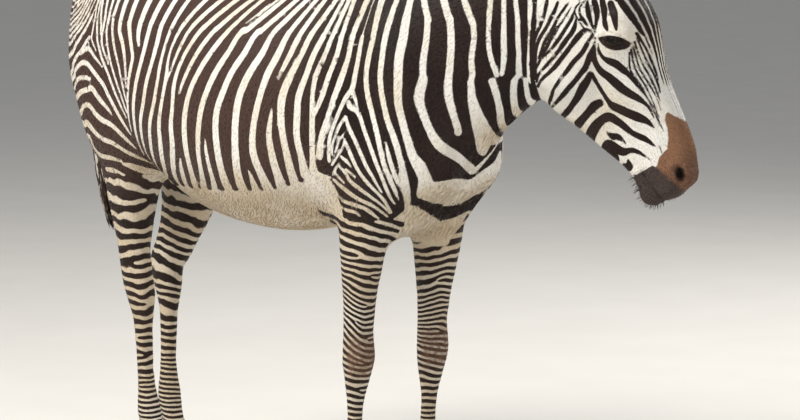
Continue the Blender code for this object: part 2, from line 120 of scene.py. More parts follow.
# %% [markdown]
# ## The camera, the light and the floor
# The animal is seen from its front right, a little above its middle, with a long lens from about eight
# metres, so it is hardly foreshortened. One wide lamp high on its right lights the flank, a weaker one ahead
# fills the shadows, a third on its left rims the back, and the floor is plain and pale.

# %% Camera, light and floor
VIEW_TURN, VIEW_RISE = math.radians(47.5), math.radians(6.5)
VIEW_DISTANCE = 7.957
VIEW_LENS = 144.045
VIEW_TARGET = Vector((0.383, 0, 0.811)) + BODY_SHIFT
toward_camera = Vector((
    math.sin(VIEW_TURN) * math.cos(VIEW_RISE),
    -math.cos(VIEW_TURN) * math.cos(VIEW_RISE),
    math.sin(VIEW_RISE),
))
camera = bpy.data.objects.new("camera", bpy.data.cameras.new("camera"))
camera.data.lens = VIEW_LENS
camera.data.clip_end = 60
camera.location = VIEW_TARGET + toward_camera * VIEW_DISTANCE
camera.rotation_euler = (-toward_camera).to_track_quat("-Z", "Y").to_euler()
bpy.context.scene.collection.objects.link(camera)
bpy.context.scene.camera = camera
bpy.context.scene.view_settings.view_transform = "Standard"


def lamp(name, place, target, size, power, colour):
    light = bpy.data.lights.new(name, "AREA")
    light.size = size
    light.energy = power
    light.color = colour
    holder = bpy.data.objects.new(name, light)
    holder.location = place
    holder.rotation_euler = (Vector(target) - Vector(place)).to_track_quat("-Z", "Y").to_euler()
    bpy.context.scene.collection.objects.link(holder)


lamp("key", (-1.5, -4.5, 5.5), (0, 0, 0.9), 3.0, 560, (1.0, 0.97, 0.92))
lamp("fill", (6.0, -2.0, 2.2), (0.2, 0, 0.8), 4.0, 110, (0.93, 0.96, 1.0))
lamp("back", (0.5, 5.0, 4.5), (0, 0, 1.0), 3.0, 260, (1.0, 0.98, 0.95))

world = bpy.data.worlds.new("studio")
world.use_nodes = True
world.node_tree.nodes["Background"].inputs["Color"].default_value = (0.80, 0.82, 0.85, 1)
world.node_tree.nodes["Background"].inputs["Strength"].default_value = 0.40
bpy.context.scene.world = world

# %% [markdown]
# ## A small language for node trees
# A finish is a recipe of nodes. Writing one by hand takes a line for every link, so one class wraps a socket
# and lets sums be written as sums, and one method makes any other node. The same two serve the trees that
# make materials and the trees that make shapes.

# %% Node helpers
class Wire:
    """One output of a node; arithmetic on it adds Math nodes to its tree."""

    def __init__(self, socket):
        self.socket = socket
        self.tree = socket.id_data

    def sum_with(self, operation, *values):
        made = self.tree.nodes.new("ShaderNodeMath")
        made.operation = operation
        for place, value in zip(made.inputs, values):
            plug(self.tree, place, value)
        return Wire(made.outputs[0])

    def __add__(self, other):
        return self.sum_with("ADD", self, other)

    def __sub__(self, other):
        return self.sum_with("SUBTRACT", self, other)

    def __mul__(self, other):
        return self.sum_with("MULTIPLY", self, other)

    def __truediv__(self, other):
        return self.sum_with("DIVIDE", self, other)

    __radd__ = __add__
    __rmul__ = __mul__

    def cosine(self):
        return self.sum_with("COSINE", self)

    def root(self):
        return self.sum_with("SQRT", self)

    def turn_about(self, other):
        """The share of a turn, from -0.5 to 0.5, of the direction with this height and the other breadth."""
        return self.sum_with("ARCTAN2", self, other) / math.tau

    def above(self, other):
        return self.sum_with("GREATER_THAN", self, other)

    def below(self, other):
        return self.sum_with("LESS_THAN", self, other)


def plug(tree, place, value):
    if isinstance(value, Wire):
        tree.links.new(value.socket, place)
    else:
        place.default_value = value


class Recipe:
    """A node tree under construction."""

    def __init__(self, tree):
        self.tree = tree

    def node(self, kind, settings=(), sockets=(), output=0):
        """Any node: its settings first, then values or wires for its sockets, by name or number."""
        made = self.tree.nodes.new(kind)
        for name, value in dict(settings).items():
            setattr(made, name, value)
        for name, value in dict(sockets).items():
            plug(self.tree, made.inputs[name], value)
        return Wire(made.outputs[output])

    def split(self, vector):
        parts = self.node("ShaderNodeSeparateXYZ", sockets={0: vector}).socket.node
        return [Wire(socket) for socket in parts.outputs]

    def attribute(self, name):
        return self.node("ShaderNodeAttribute", {"attribute_name": name}, output="Vector")

    def noise(self, place, scale, detail=2.0, roughness=0.5):
        sockets = {"Vector": place, "Scale": scale, "Detail": detail, "Roughness": roughness}
        return self.node("ShaderNodeTexNoise", sockets=sockets)

    def step(self, value, start, end):
        """0 up to start, 1 from end on, smooth between."""
        sockets = {"Value": value, "From Min": start, "From Max": end}
        return self.node("ShaderNodeMapRange", {"interpolation_type": "SMOOTHSTEP"}, sockets)

    def blend(self, share, first, second):
        """The first colour where share is 0 and the second where it is 1."""
        return self.node("ShaderNodeMix", {"data_type": "RGBA"}, {0: share, 6: first, 7: second}, 2)


def colour(red, green, blue):
    return (red, green, blue, 1.0)


def new_finish(name):
    """A material with its recipe and its surface node, whose other sockets are set by the caller."""
    material = bpy.data.materials.new(name)
    material.use_nodes = True
    surface = material.node_tree.nodes["Principled BSDF"]
    return material, Recipe(material.node_tree), surface


def feed(recipe, surface, **wires):
    for name, value in wires.items():
        plug(recipe.tree, surface.inputs[name.replace("_", " ")], value)


def new_piece(name, mesh, material=None):
    """Links a finished mesh at the origin as a piece that rides on the body."""
    piece = bpy.data.objects.new(name, mesh)
    bpy.context.scene.collection.objects.link(piece)
    if material:
        mesh.materials.clear()
        mesh.materials.append(material)
    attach(piece, "root")
    return piece


def settled(piece):
    """The mesh that a piece's modifiers give, after which it has none."""
    graph = bpy.context.evaluated_depsgraph_get()
    mesh = bpy.data.meshes.new_from_object(piece.evaluated_get(graph))
    piece.modifiers.clear()
    piece.data = mesh
    return mesh


floor_material, floor_recipe, floor_surface = new_finish("pale_floor")
floor_grain = floor_recipe.noise(floor_recipe.node("ShaderNodeTexCoord", output="Object"), 3.0)
floor_shade = floor_recipe.blend(floor_grain, colour(0.66, 0.64, 0.60), colour(0.72, 0.70, 0.66))
feed(floor_recipe, floor_surface, Base_Color=floor_shade)
floor_surface.inputs["Roughness"].default_value = 0.85
bpy.ops.mesh.primitive_plane_add(size=60)
floor = bpy.context.object
floor.name = "floor"
floor.data.materials.append(floor_material)

# %% [markdown]
# ## One skin over the flesh
# The trunk, neck, head and legs are separate closed solids, but an animal has one skin. Copies of them are
# grown by a fraction of a millimetre until they meet, fused by a voxel remesh, and relaxed, strongly on the
# barrel and little on the legs and face, so the flat facets melt but the forms stay. The result is drawn in
# by the depth of the coat, which later stands on it. A Subdivision Surface over each solid would leave the
# seams, which is why the fusing comes first. The eyeballs are fused in too, so that the skin runs over them
# and the lids can be shaped from it.

# %% Fuse the flesh
GROW = 0.0004
VOXEL = 0.005
FLESH_NAMES = ("trunk", "neck", "head", "fore_leg", "hind_leg")
FLESH = sorted(name for name in frame["nodes"] if name.startswith(FLESH_NAMES))


def merged_copy(node, grow=0.0):
    """A welded copy of a solid's mesh, grown along its normals."""
    copy = bmesh.new()
    copy.from_mesh(frame["nodes"][node].data)
    bmesh.ops.remove_doubles(copy, verts=copy.verts, dist=1e-5)
    copy.normal_update()
    for vertex in copy.verts:
        vertex.co += vertex.normal * grow
    mesh = bpy.data.meshes.new(node)
    copy.to_mesh(mesh)
    copy.free()
    return mesh


def fused(nodes, voxel):
    """One closed mesh round all these solids, on a scratch object."""
    whole = bmesh.new()
    for node in nodes:
        whole.from_mesh(merged_copy(node, GROW))
    mesh = bpy.data.meshes.new("fused")
    whole.to_mesh(mesh)
    whole.free()
    scratch = bpy.data.objects.new("fused", mesh)
    bpy.context.scene.collection.objects.link(scratch)
    remesh = scratch.modifiers.new("Fuse", "REMESH")
    remesh.mode = "VOXEL"
    remesh.voxel_size = voxel
    settled(scratch)
    return scratch


def points_of(mesh):
    flat = np.empty(len(mesh.vertices) * 3)
    mesh.vertices.foreach_get("co", flat)
    return flat.reshape(-1, 3)


def normals_of(mesh):
    flat = np.empty(len(mesh.vertices) * 3, np.float32)
    mesh.vertex_normals.foreach_get("vector", flat)
    return flat.reshape(-1, 3).astype(float)


def put_points(mesh, points):
    mesh.vertices.foreach_set("co", points.ravel())
    mesh.update()


def edges_of(mesh):
    flat = np.empty(len(mesh.edges) * 2, np.int32)
    mesh.edges.foreach_get("vertices", flat)
    return flat.reshape(-1, 2)


def relax(points, edges, amount, rounds):
    """Moves each point towards the middle of its neighbours, by its own amount, again and again."""
    count = len(points)
    degree = np.bincount(edges.ravel(), minlength=count)
    for _ in range(rounds):
        total = np.empty_like(points)
        for axis in range(3):
            line = points[:, axis]
            total[:, axis] = np.bincount(edges[:, 0], line[edges[:, 1]], count)
            total[:, axis] += np.bincount(edges[:, 1], line[edges[:, 0]], count)
        points = points + amount[:, None] * (total / degree[:, None] - points)
    return points


skin = fused([*FLESH, "eye_left", "eye_right"], VOXEL)
print("fused skin:", len(skin.data.vertices), "points")

# %% Melt the facets and draw the skin in
RELAX_ROUNDS = 80
RELAX_BARREL, RELAX_LEGS, RELAX_HEAD = 0.9, 0.10, 0.10
COAT_DEPTH = 0.003
LEG_COAT_DEPTH = 0.0015


def head_share(points):
    """1 on the head, 0 on the neck and body."""
    u, v, w = on_head(points).T
    return ramp(u, 0.03, 0.10) * ramp(v, -0.31, -0.26) * ramp(np.abs(w), 0.20, 0.16)


def leg_share(points):
    """1 on the free part of the legs, 0 on the trunk."""
    x, y, z = on_body(points).T
    columns = np.maximum(ramp(x, -0.36, -0.42), ramp(x, 0.20, 0.26) * ramp(x, 0.60, 0.50))
    return ramp(z, 0.84, 0.72) * columns * ramp(np.abs(y), 0.02, 0.05)


points = points_of(skin.data)
on_legs, of_head = leg_share(points), head_share(points)
relaxing = RELAX_BARREL + (RELAX_LEGS - RELAX_BARREL) * on_legs
relaxing = relaxing + (RELAX_HEAD - relaxing) * of_head
put_points(skin.data, relax(points, edges_of(skin.data), relaxing, RELAX_ROUNDS))
depth = COAT_DEPTH + (LEG_COAT_DEPTH - COAT_DEPTH) * np.maximum(on_legs, of_head)
put_points(skin.data, points_of(skin.data) - normals_of(skin.data) * depth[:, None])

# %% [markdown]
# The markings are painted point by point, so the mesh has to be finest where they are: on the face, the
# nape, the croup and the shoulder. Elsewhere points are spent more thriftily, by collapsing edges.

# %% Spend the points where the markings are finest
def fine_markings(points):
    """1 where thin lines crowd: croup, flank fold, point of the shoulder and nape."""
    x, y, z = on_body(points).T
    croup = ramp(x, -0.44, -0.48) * ramp(z, 1.10, 1.16)
    fold = ramp(x, -0.53, -0.50) * ramp(x, -0.37, -0.40) * ramp(z, 0.93, 0.97) * ramp(z, 1.17, 1.13)
    shoulder = ramp(x, 0.31, 0.33) * ramp(x, 0.43, 0.41) * ramp(z, 0.86, 0.88) * ramp(z, 1.12, 1.10)
    u, v, w = on_head(points).T
    nape = ramp(u, -0.16, -0.12) * (1 - head_share(points))
    return np.maximum(np.maximum(np.maximum(croup, fold), shoulder), nape)


def thin_out(piece, region, keep):
    """Collapses edges among the points of a region until only a share of its faces is left."""
    inside = np.flatnonzero(region(points_of(piece.data)) > 0.5)
    group = piece.vertex_groups.new(name="thin")
    group.add(inside.tolist(), 1.0, "REPLACE")
    share = len(inside) / len(piece.data.vertices)
    modifier = piece.modifiers.new("Thin", "DECIMATE")
    modifier.vertex_group = group.name
    modifier.ratio = 1 - share * (1 - keep)
    settled(piece)
    piece.vertex_groups.clear()


def plain_trunk(points):
    return (1 - leg_share(points)) * (1 - head_share(points)) * (1 - fine_markings(points))


def barrel(points):
    return plain_trunk(points) * ramp(on_body(points)[:, 0], 0.47, 0.45)


def neck_and_breast(points):
    return plain_trunk(points) * ramp(on_body(points)[:, 0], 0.45, 0.47)


def even_out(piece, longest, rounds):
    """Halves long edges, turns slivers into squarer triangles and lets the points spread evenly."""
    for _ in range(2):
        grid = bmesh.new()
        grid.from_mesh(piece.data)
        bmesh.ops.beautify_fill(grid, faces=grid.faces, edges=grid.edges, method="ANGLE")
        long_edges = [edge for edge in grid.edges if edge.calc_length() > longest]
        bmesh.ops.subdivide_edges(grid, edges=long_edges, cuts=1)
        bmesh.ops.triangulate(grid, faces=[face for face in grid.faces if len(face.verts) > 3])
        bmesh.ops.beautify_fill(grid, faces=grid.faces, edges=grid.edges, method="ANGLE")
        grid.to_mesh(piece.data)
        grid.free()
        points = points_of(piece.data)
        amount = 0.5 * (1 - head_share(points)) * (1 - 0.8 * leg_share(points))
        put_points(piece.data, relax(points, edges_of(piece.data), amount, rounds))


FACES_KEPT = [
    (barrel, 0.09), (neck_and_breast, 0.14), (leg_share, 0.185), (fine_markings, 0.28), (head_share, 0.56),
]
LONGEST_EDGE = 0.020
for region, keep in FACES_KEPT:
    thin_out(skin, region, keep)
even_out(skin, LONGEST_EDGE, 4)
print("thinned skin:", len(skin.data.vertices), "points,", len(skin.data.polygons), "faces")

# %% [markdown]
# A stroke drawn through a few points would show corners, so a curve goes smoothly through them first.
# Strokes that reach the top of the side run on over the back in the same direction.

# %% Distance to a stroke's edge
FAR = 0.03
STEPS_BETWEEN = 3
RUN_ON = 0.45
RUN_BACK = 0.20
BACK_STARTS = 1.285
REAR_STARTS = -0.64
REAR_FALL = ([0.85, 1.00, 1.15, 1.30], [0.55, 0.35, 0.15, -0.10])
MILLI = 0.001


def smooth_stroke(stroke):
    """The stroke in metres with points added on a smooth curve through its own."""
    rows = np.array(stroke, float) * MILLI
    padded = np.vstack([2 * rows[0] - rows[1], rows, 2 * rows[-1] - rows[-2]])
    made = []
    for a, b, c, d in zip(padded, padded[1:], padded[2:], padded[3:]):
        for t in np.arange(STEPS_BETWEEN) / STEPS_BETWEEN:
            square, cube = 2 * a - 5 * b + 4 * c - d, 3 * b - a - 3 * c + d
            made.append(0.5 * (2 * b + (c - a) * t + square * t**2 + cube * t**3))
    made.append(rows[-1])
    return np.array(made)


def carried_on(stroke):
    """The stroke, with an end that reaches the top of the side or the rear of the haunch taken on past it."""
    rows = [np.array(place, float) for place in stroke]
    for _ in range(2):
        first, step = rows[0], (rows[0] - rows[1])[:2]
        if first[1] * MILLI > BACK_STARTS and step[1] > 0:
            lean = np.array([np.clip(step[0] / step[1], -0.5, 0.9), 1.0])
            rows.insert(0, np.array([*(first[:2] + lean * RUN_ON / MILLI), max(first[2], 4.0)]))
        elif first[0] * MILLI < REAR_STARTS:
            fall = np.interp(first[1] * MILLI, *REAR_FALL)
            back = RUN_BACK / MILLI
            rows.insert(0, np.array([first[0] - back, first[1] - fall * back, first[2] + 1.0]))
        rows.reverse()
    return rows


def gap_to_strokes(places, strokes, far=FAR, swell=1.0):
    """For each place, how far in metres it is outside the nearest stroke; below zero inside one."""
    gap = np.full(len(places), far)
    for stroke in strokes:
        rows = smooth_stroke(stroke)
        rows[:, 2] *= swell
        low, high = rows[:, :2].min(0) - far, rows[:, :2].max(0) + far
        near = np.flatnonzero(np.all((places > low) & (places < high), axis=1))
        for (x0, z0, r0), (x1, z1, r1) in zip(rows, rows[1:]):
            along, out = places[near, 0] - x0, places[near, 1] - z0
            dx, dz = x1 - x0, z1 - z0
            t = np.clip((along * dx + out * dz) / (dx * dx + dz * dz + 1e-12), 0, 1)
            here = np.hypot(along - t * dx, out - t * dz) - (r0 + t * (r1 - r0))
            gap[near] = np.minimum(gap[near], here)
    return gap


# %% [markdown]
# ## The face
# Lids, nostrils and lips are folds of the same skin, so they are shaped from its own points: first more
# points where the folds are, then pushes along simple guides. Each guide is a few points along the face with
# a radius and a height. Pushes by rule stay editable as numbers.

# %% More points round the eyes, nostrils and lips
EYE_AXIS = (0.694, 0.720)
NOSTRIL = (0.5615, -0.027)


def on_eye(points, side):
    """Across the lids from corner to corner, up across them, and outward, from the middle of one eyeball."""
    u, v, w = on_head(points).T
    u, v = u - EYE_IN_HEAD[0], v - EYE_IN_HEAD[1]
    out = w * side - float((EYES["left"] - EYES["right"]).length) / 2
    return u * EYE_AXIS[0] + v * EYE_AXIS[1], v * EYE_AXIS[0] - u * EYE_AXIS[1], out


def refine(piece, chosen):
    """Cuts the edges whose points are all chosen in two, and makes triangles."""
    grid = bmesh.new()
    grid.from_mesh(piece.data)
    picked = chosen(points_of(piece.data))
    edges = [edge for edge in grid.edges if picked[edge.verts[0].index] and picked[edge.verts[1].index]]
    bmesh.ops.subdivide_edges(grid, edges=edges, cuts=1, use_grid_fill=True)
    bmesh.ops.triangulate(grid, faces=[face for face in grid.faces if len(face.verts) > 3])
    grid.to_mesh(piece.data)
    grid.free()


def near_eyes(radius):
    def chosen(points):
        found = np.zeros(len(points), bool)
        for side in (1, -1):
            a, b, out = on_eye(points, side)
            found |= (np.hypot(a / 1.35, b) < radius) & (out > -0.02)
        return found
    return chosen


def near_nostrils(radius):
    def chosen(points):
        u, v, w = on_head(points).T
        return (np.hypot(u - NOSTRIL[0], v - NOSTRIL[1]) < radius) & (np.abs(w) > 0.02)
    return chosen


def near_lips(points):
    u, v, w = on_head(points).T
    return (np.abs(v + 0.105) < 0.012) & (u > 0.51)


refine(skin, near_eyes(0.032))
refine(skin, near_eyes(0.024))
refine(skin, near_nostrils(0.030))
refine(skin, near_nostrils(0.022))
refine(skin, near_lips)

# %% [markdown]
# The eyelids are one sheet lying on the ball. Beyond an almond the skin keeps a lid's thickness off the ball
# and then runs out into the face. Inside it the skin is tucked behind the ball, where it isn't seen.

# %% Shape the lids
LID_HALF_LENGTH = 0.0225
LID_UP, LID_DOWN = 0.0072, 0.0118
LID_THICK = 0.0021
TUCK = 0.004
LID_RUN_OUT = 0.020


def beyond_almond(a, b):
    """How far outside the lids' opening a place is, below zero inside it."""
    high = np.where(b > 0, LID_UP, LID_DOWN)
    curve = high * np.clip(1 - (a / LID_HALF_LENGTH) ** 2, 0, 1) ** 0.75
    past_corner = np.maximum(np.abs(a) - LID_HALF_LENGTH, 0)
    return np.where(past_corner > 0, np.hypot(past_corner, b), np.abs(b) - curve)


def shape_lids(points):
    for side in (1, -1):
        a, b, out = on_eye(points, side)
        here = np.flatnonzero((np.hypot(a, b) < 0.06) & (out > -0.03))
        a, b, out = a[here], b[here], out[here]
        centre = np.array(EYES["left" if side > 0 else "right"])
        away = points[here] - centre
        radius = np.linalg.norm(away, axis=1)
        gap = beyond_almond(a, b)
        fold = np.where(b > 0, 0.0012, 0.0006) * np.exp(-((gap - 0.0035) / 0.0022) ** 2)
        crease = np.where(b > 0, 0.0022, 0.0012) * np.exp(-((gap - 0.0085) / 0.0016) ** 2)
        pouch = np.where(b > 0, 0.0030, 0.0016) * np.exp(-((gap - 0.0145) / 0.0040) ** 2)
        lid = EYE_RADIUS + LID_THICK + fold
        share = ramp(gap, 0.002, LID_RUN_OUT)
        sheet = lid + (radius - lid) * share - crease + pouch
        sheet = np.maximum(sheet, EYE_RADIUS + 0.0012)
        tucked = EYE_RADIUS - TUCK
        wanted = np.where(gap < 0, tucked, sheet)
        wanted = np.where(out < 0.003, radius + (wanted - radius) * ramp(out, -0.012, 0.003), wanted)
        points[here] = centre + away * (wanted / radius)[:, None]
    return points


put_points(skin.data, shape_lids(points_of(skin.data)))

# %% [markdown]
# A guide pushes the skin out or in along its own normals, most on the line itself and fading at a radius.
# The same guides serve for the cheek's edge, the bone under the eye, the nostril's wing and the lips.

# %% Bones, nostrils and lips
FACE_GUIDES = [
    # points (u, v) in millimetres, radius, height
    ([(235, -62), (300, -66), (360, -64), (400, -60)], 11, 2.6),
    ([(250, -84), (310, -90), (380, -88)], 14, -1.8),
    ([(285, -100), (318, -135), (322, -175), (300, -210)], 10, -2.2),
    ([(235, -110), (262, -150), (250, -190)], 34, 3.2),
    ([(165, 30), (195, 36), (225, 34)], 13, 3.6),
    ([(110, 0), (140, -12), (165, -18)], 17, -4.0),
    ([(255, 22), (300, 12), (350, 8), (400, 6)], 11, -2.0),
    ([(440, -10), (490, -22), (530, -38)], 15, -2.2),
    ([(395, -130), (450, -128), (505, -122)], 13, -1.6),
    ([(560, 2), (583, -10), (592, -30)], 9, 2.6),
    ([(541, -12), (537, -30), (545, -48)], 8, 1.8),
    ([(515, -88), (550, -86), (590, -84)], 12, 2.0),
    ([(505, -117), (540, -124), (575, -124), (596, -118)], 8, 2.0),
    ([(560, -143), (580, -140)], 14, 3.0),
    ([(536, -134), (548, -139)], 7, -1.6),
]
NOSTRIL_PIT = [(551, -25), (562, -25), (574, -29)]
NOSTRIL_WING = [(552, -6), (572, -6), (588, -16), (590, -32), (576, -44)]
MOUTH_SLIT = [(513, -109), (530, -108), (560, -104), (590, -101), (612, -98)]
PIT_RADIUS, PIT_DEPTH = 0.0095, 0.019
WING_RADIUS, WING_HEIGHT = 0.0055, 0.0045
SLIT_RADIUS, SLIT_DEPTH = 0.0026, 0.0048


def along_guide(points, guide):
    """How far each point of the head lies from a guide drawn on the side of the face."""
    u, v, w = on_head(points).T
    stroke = [(a, b, 0) for a, b in guide]
    return gap_to_strokes(np.column_stack([u, v]), [stroke], 0.09)


def push(points, normals, guide, radius, height):
    w = on_head(points)[:, 2]
    share = np.exp(-(along_guide(points, guide) / radius) ** 2)
    return points + normals * (share * height * head_share(points) * ramp(np.abs(w), 0.004, 0.016))[:, None]


def shape_face(mesh):
    points, normals = points_of(mesh), normals_of(mesh)
    for guide, radius, height in FACE_GUIDES:
        points = push(points, normals, guide, radius * MILLI, height * MILLI)
    points = push(points, normals, NOSTRIL_PIT, PIT_RADIUS, -PIT_DEPTH)
    points = push(points, normals, NOSTRIL_WING, WING_RADIUS, WING_HEIGHT)
    gap = along_guide(points, MOUTH_SLIT)
    slit = np.exp(-(gap / SLIT_RADIUS) ** 2) * head_share(points)
    points = points - normals * (slit * SLIT_DEPTH)[:, None]
    put_points(mesh, points)


shape_face(skin.data)
print("shaped skin:", len(skin.data.vertices), "points")

# %% [markdown]
# ## The markings
# The stripes are strokes. On the body pale strokes lie on a dark ground, and on the face dark strokes lie on
# a pale one, as the eye reads them. Each stroke is a few points with a half width, in millimetres: along and
# up the body's side, or along `u` and `v` of the head. A smooth curve goes through them, and each point of
# the skin learns how far it is from the nearest edge. Forks, gaps and tapering ends come by themselves.
# The rings of the legs and the lines of the forehead repeat evenly, so they come from a rule instead.

# %% Strokes of the barrel, hindquarters and shoulder
BARREL_PALE = [
    [(-448, 1300, 7), (-452, 1250, 7), (-449, 1225, 7), (-428, 1190, 7), (-415, 1150, 6), (-410, 1120, 5),
     (-409, 1086, 2)],
    [(-412, 1300, 8), (-415, 1250, 8), (-394, 1200, 7), (-379, 1167, 7), (-383, 1145, 7), (-395, 1100, 6),
     (-405, 1050, 5), (-416, 1000, 4), (-421, 965, 2)],
    [(-363, 1300, 10), (-369, 1250, 10), (-366, 1220, 8), (-357, 1198, 5)],
    [(-313, 1300, 10), (-323, 1250, 9), (-326, 1200, 9), (-338, 1150, 8), (-356, 1100, 8), (-373, 1050, 8),
     (-386, 1000, 7), (-402, 950, 6), (-410, 905, 3)],
    [(-265, 1300, 9), (-276, 1250, 9), (-276, 1200, 9), (-287, 1150, 8), (-305, 1100, 8), (-320, 1050, 8),
     (-346, 1000, 8), (-367, 950, 7), (-388, 900, 4), (-393, 856, 2)],
    [(-217, 1300, 8), (-230, 1250, 7), (-237, 1210, 6), (-245, 1150, 7), (-252, 1100, 7), (-266, 1050, 8),
     (-292, 1000, 8), (-313, 950, 9), (-343, 900, 9), (-387, 855, 4)],
    [(-160, 1300, 8), (-190, 1250, 7), (-207, 1200, 5), (-212, 1160, 5), (-210, 1125, 8), (-222, 1070, 7),
     (-243, 1000, 9), (-252, 950, 11), (-274, 900, 12), (-300, 868, 10), (-345, 850, 7)],
    [(-109, 1300, 8), (-151, 1250, 7), (-172, 1200, 6), (-190, 1150, 5), (-204, 1118, 4)],
    [(-58, 1300, 8), (-106, 1250, 8), (-137, 1200, 7), (-160, 1150, 7), (-172, 1105, 8), (-174, 1050, 8),
     (-183, 1000, 10), (-187, 950, 12), (-211, 900, 12), (-228, 878, 11), (-244, 850, 12)],
    [(-6, 1300, 8), (-55, 1250, 8), (-90, 1200, 8), (-117, 1150, 7), (-135, 1112, 6), (-147, 1082, 4)],
    [(36, 1300, 7), (-4, 1250, 8), (-39, 1200, 9), (-71, 1150, 9), (-98, 1100, 9), (-114, 1050, 10),
     (-121, 1000, 11), (-123, 950, 11), (-125, 900, 11), (-132, 866, 13), (-142, 845, 14)],
    [(110, 1300, 8), (45, 1250, 9), (23, 1200, 9), (-7, 1150, 10), (-31, 1100, 10), (-50, 1050, 10),
     (-60, 1000, 10), (-68, 950, 9), (-75, 900, 9), (-86, 866, 11), (-100, 845, 13)],
    [(112, 1327, 4), (94, 1315, 4), (67, 1287, 3), (46, 1269, 2)],
    [(158, 1300, 8), (100, 1250, 9), (80, 1200, 10), (50, 1150, 10), (29, 1100, 10), (11, 1050, 11),
     (8, 1000, 11), (10, 950, 12), (11, 900, 13), (10, 860, 17)],
    [(196, 1300, 8), (154, 1250, 8), (137, 1200, 10), (109, 1150, 11), (89, 1100, 11), (80, 1050, 11),
     (77, 1000, 11), (74, 950, 12), (68, 900, 13), (64, 860, 16)],
    [(235, 1300, 7), (203, 1250, 8), (187, 1200, 10), (166, 1150, 10), (152, 1100, 9), (141, 1050, 9),
     (133, 1000, 9), (131, 950, 11), (142, 900, 12), (146, 860, 16)],
    [(268, 1300, 7), (241, 1250, 8), (224, 1200, 8), (203, 1150, 5), (198, 1134, 2)],
    [(304, 1300, 7), (275, 1250, 8), (257, 1200, 8), (235, 1150, 10), (217, 1100, 11), (215, 1050, 10),
     (221, 1000, 9), (229, 950, 10), (231, 900, 12), (231, 868, 15)],
    [(334, 1300, 6), (314, 1250, 8), (293, 1200, 8), (279, 1150, 8), (263, 1100, 9), (261, 1050, 9),
     (260, 1000, 9), (268, 950, 9), (270, 905, 14)],
    [(356, 1300, 6), (340, 1250, 6), (326, 1200, 7), (307, 1150, 7), (302, 1100, 6), (303, 1060, 7),
     (303, 1000, 8), (299, 950, 7), (296, 915, 12)],
    [(376, 1300, 6), (367, 1250, 7), (361, 1200, 7), (344, 1150, 7), (329, 1100, 7), (309, 1057, 5)],
    [(409, 1300, 7), (398, 1250, 8), (396, 1200, 7), (383, 1150, 9), (365, 1100, 8), (347, 1050, 7),
     (329, 1000, 8), (320, 955, 10)],
    [(430, 1297, 1), (426, 1250, 5), (425, 1200, 6), (421, 1150, 7), (416, 1123, 7), (398, 1100, 6),
     (371, 1045, 5), (356, 1010, 5), (349, 980, 5), (346, 945, 5)],
    [(416, 1123, 6), (427, 1101, 5), (437, 1076, 2)],
    [(188, 1066, 2), (187, 1050, 5), (181, 1000, 8), (186, 950, 10), (190, 900, 12), (188, 862, 16)],
    [(107, 907, 2), (109, 885, 7), (107, 855, 12)],
    [(-33, 978, 2), (-35, 950, 6), (-35, 900, 8), (-40, 865, 10), (-50, 845, 12)],
    [(-160, 919, 3), (-170, 897, 8), (-182, 870, 11), (-194, 845, 12)],
]
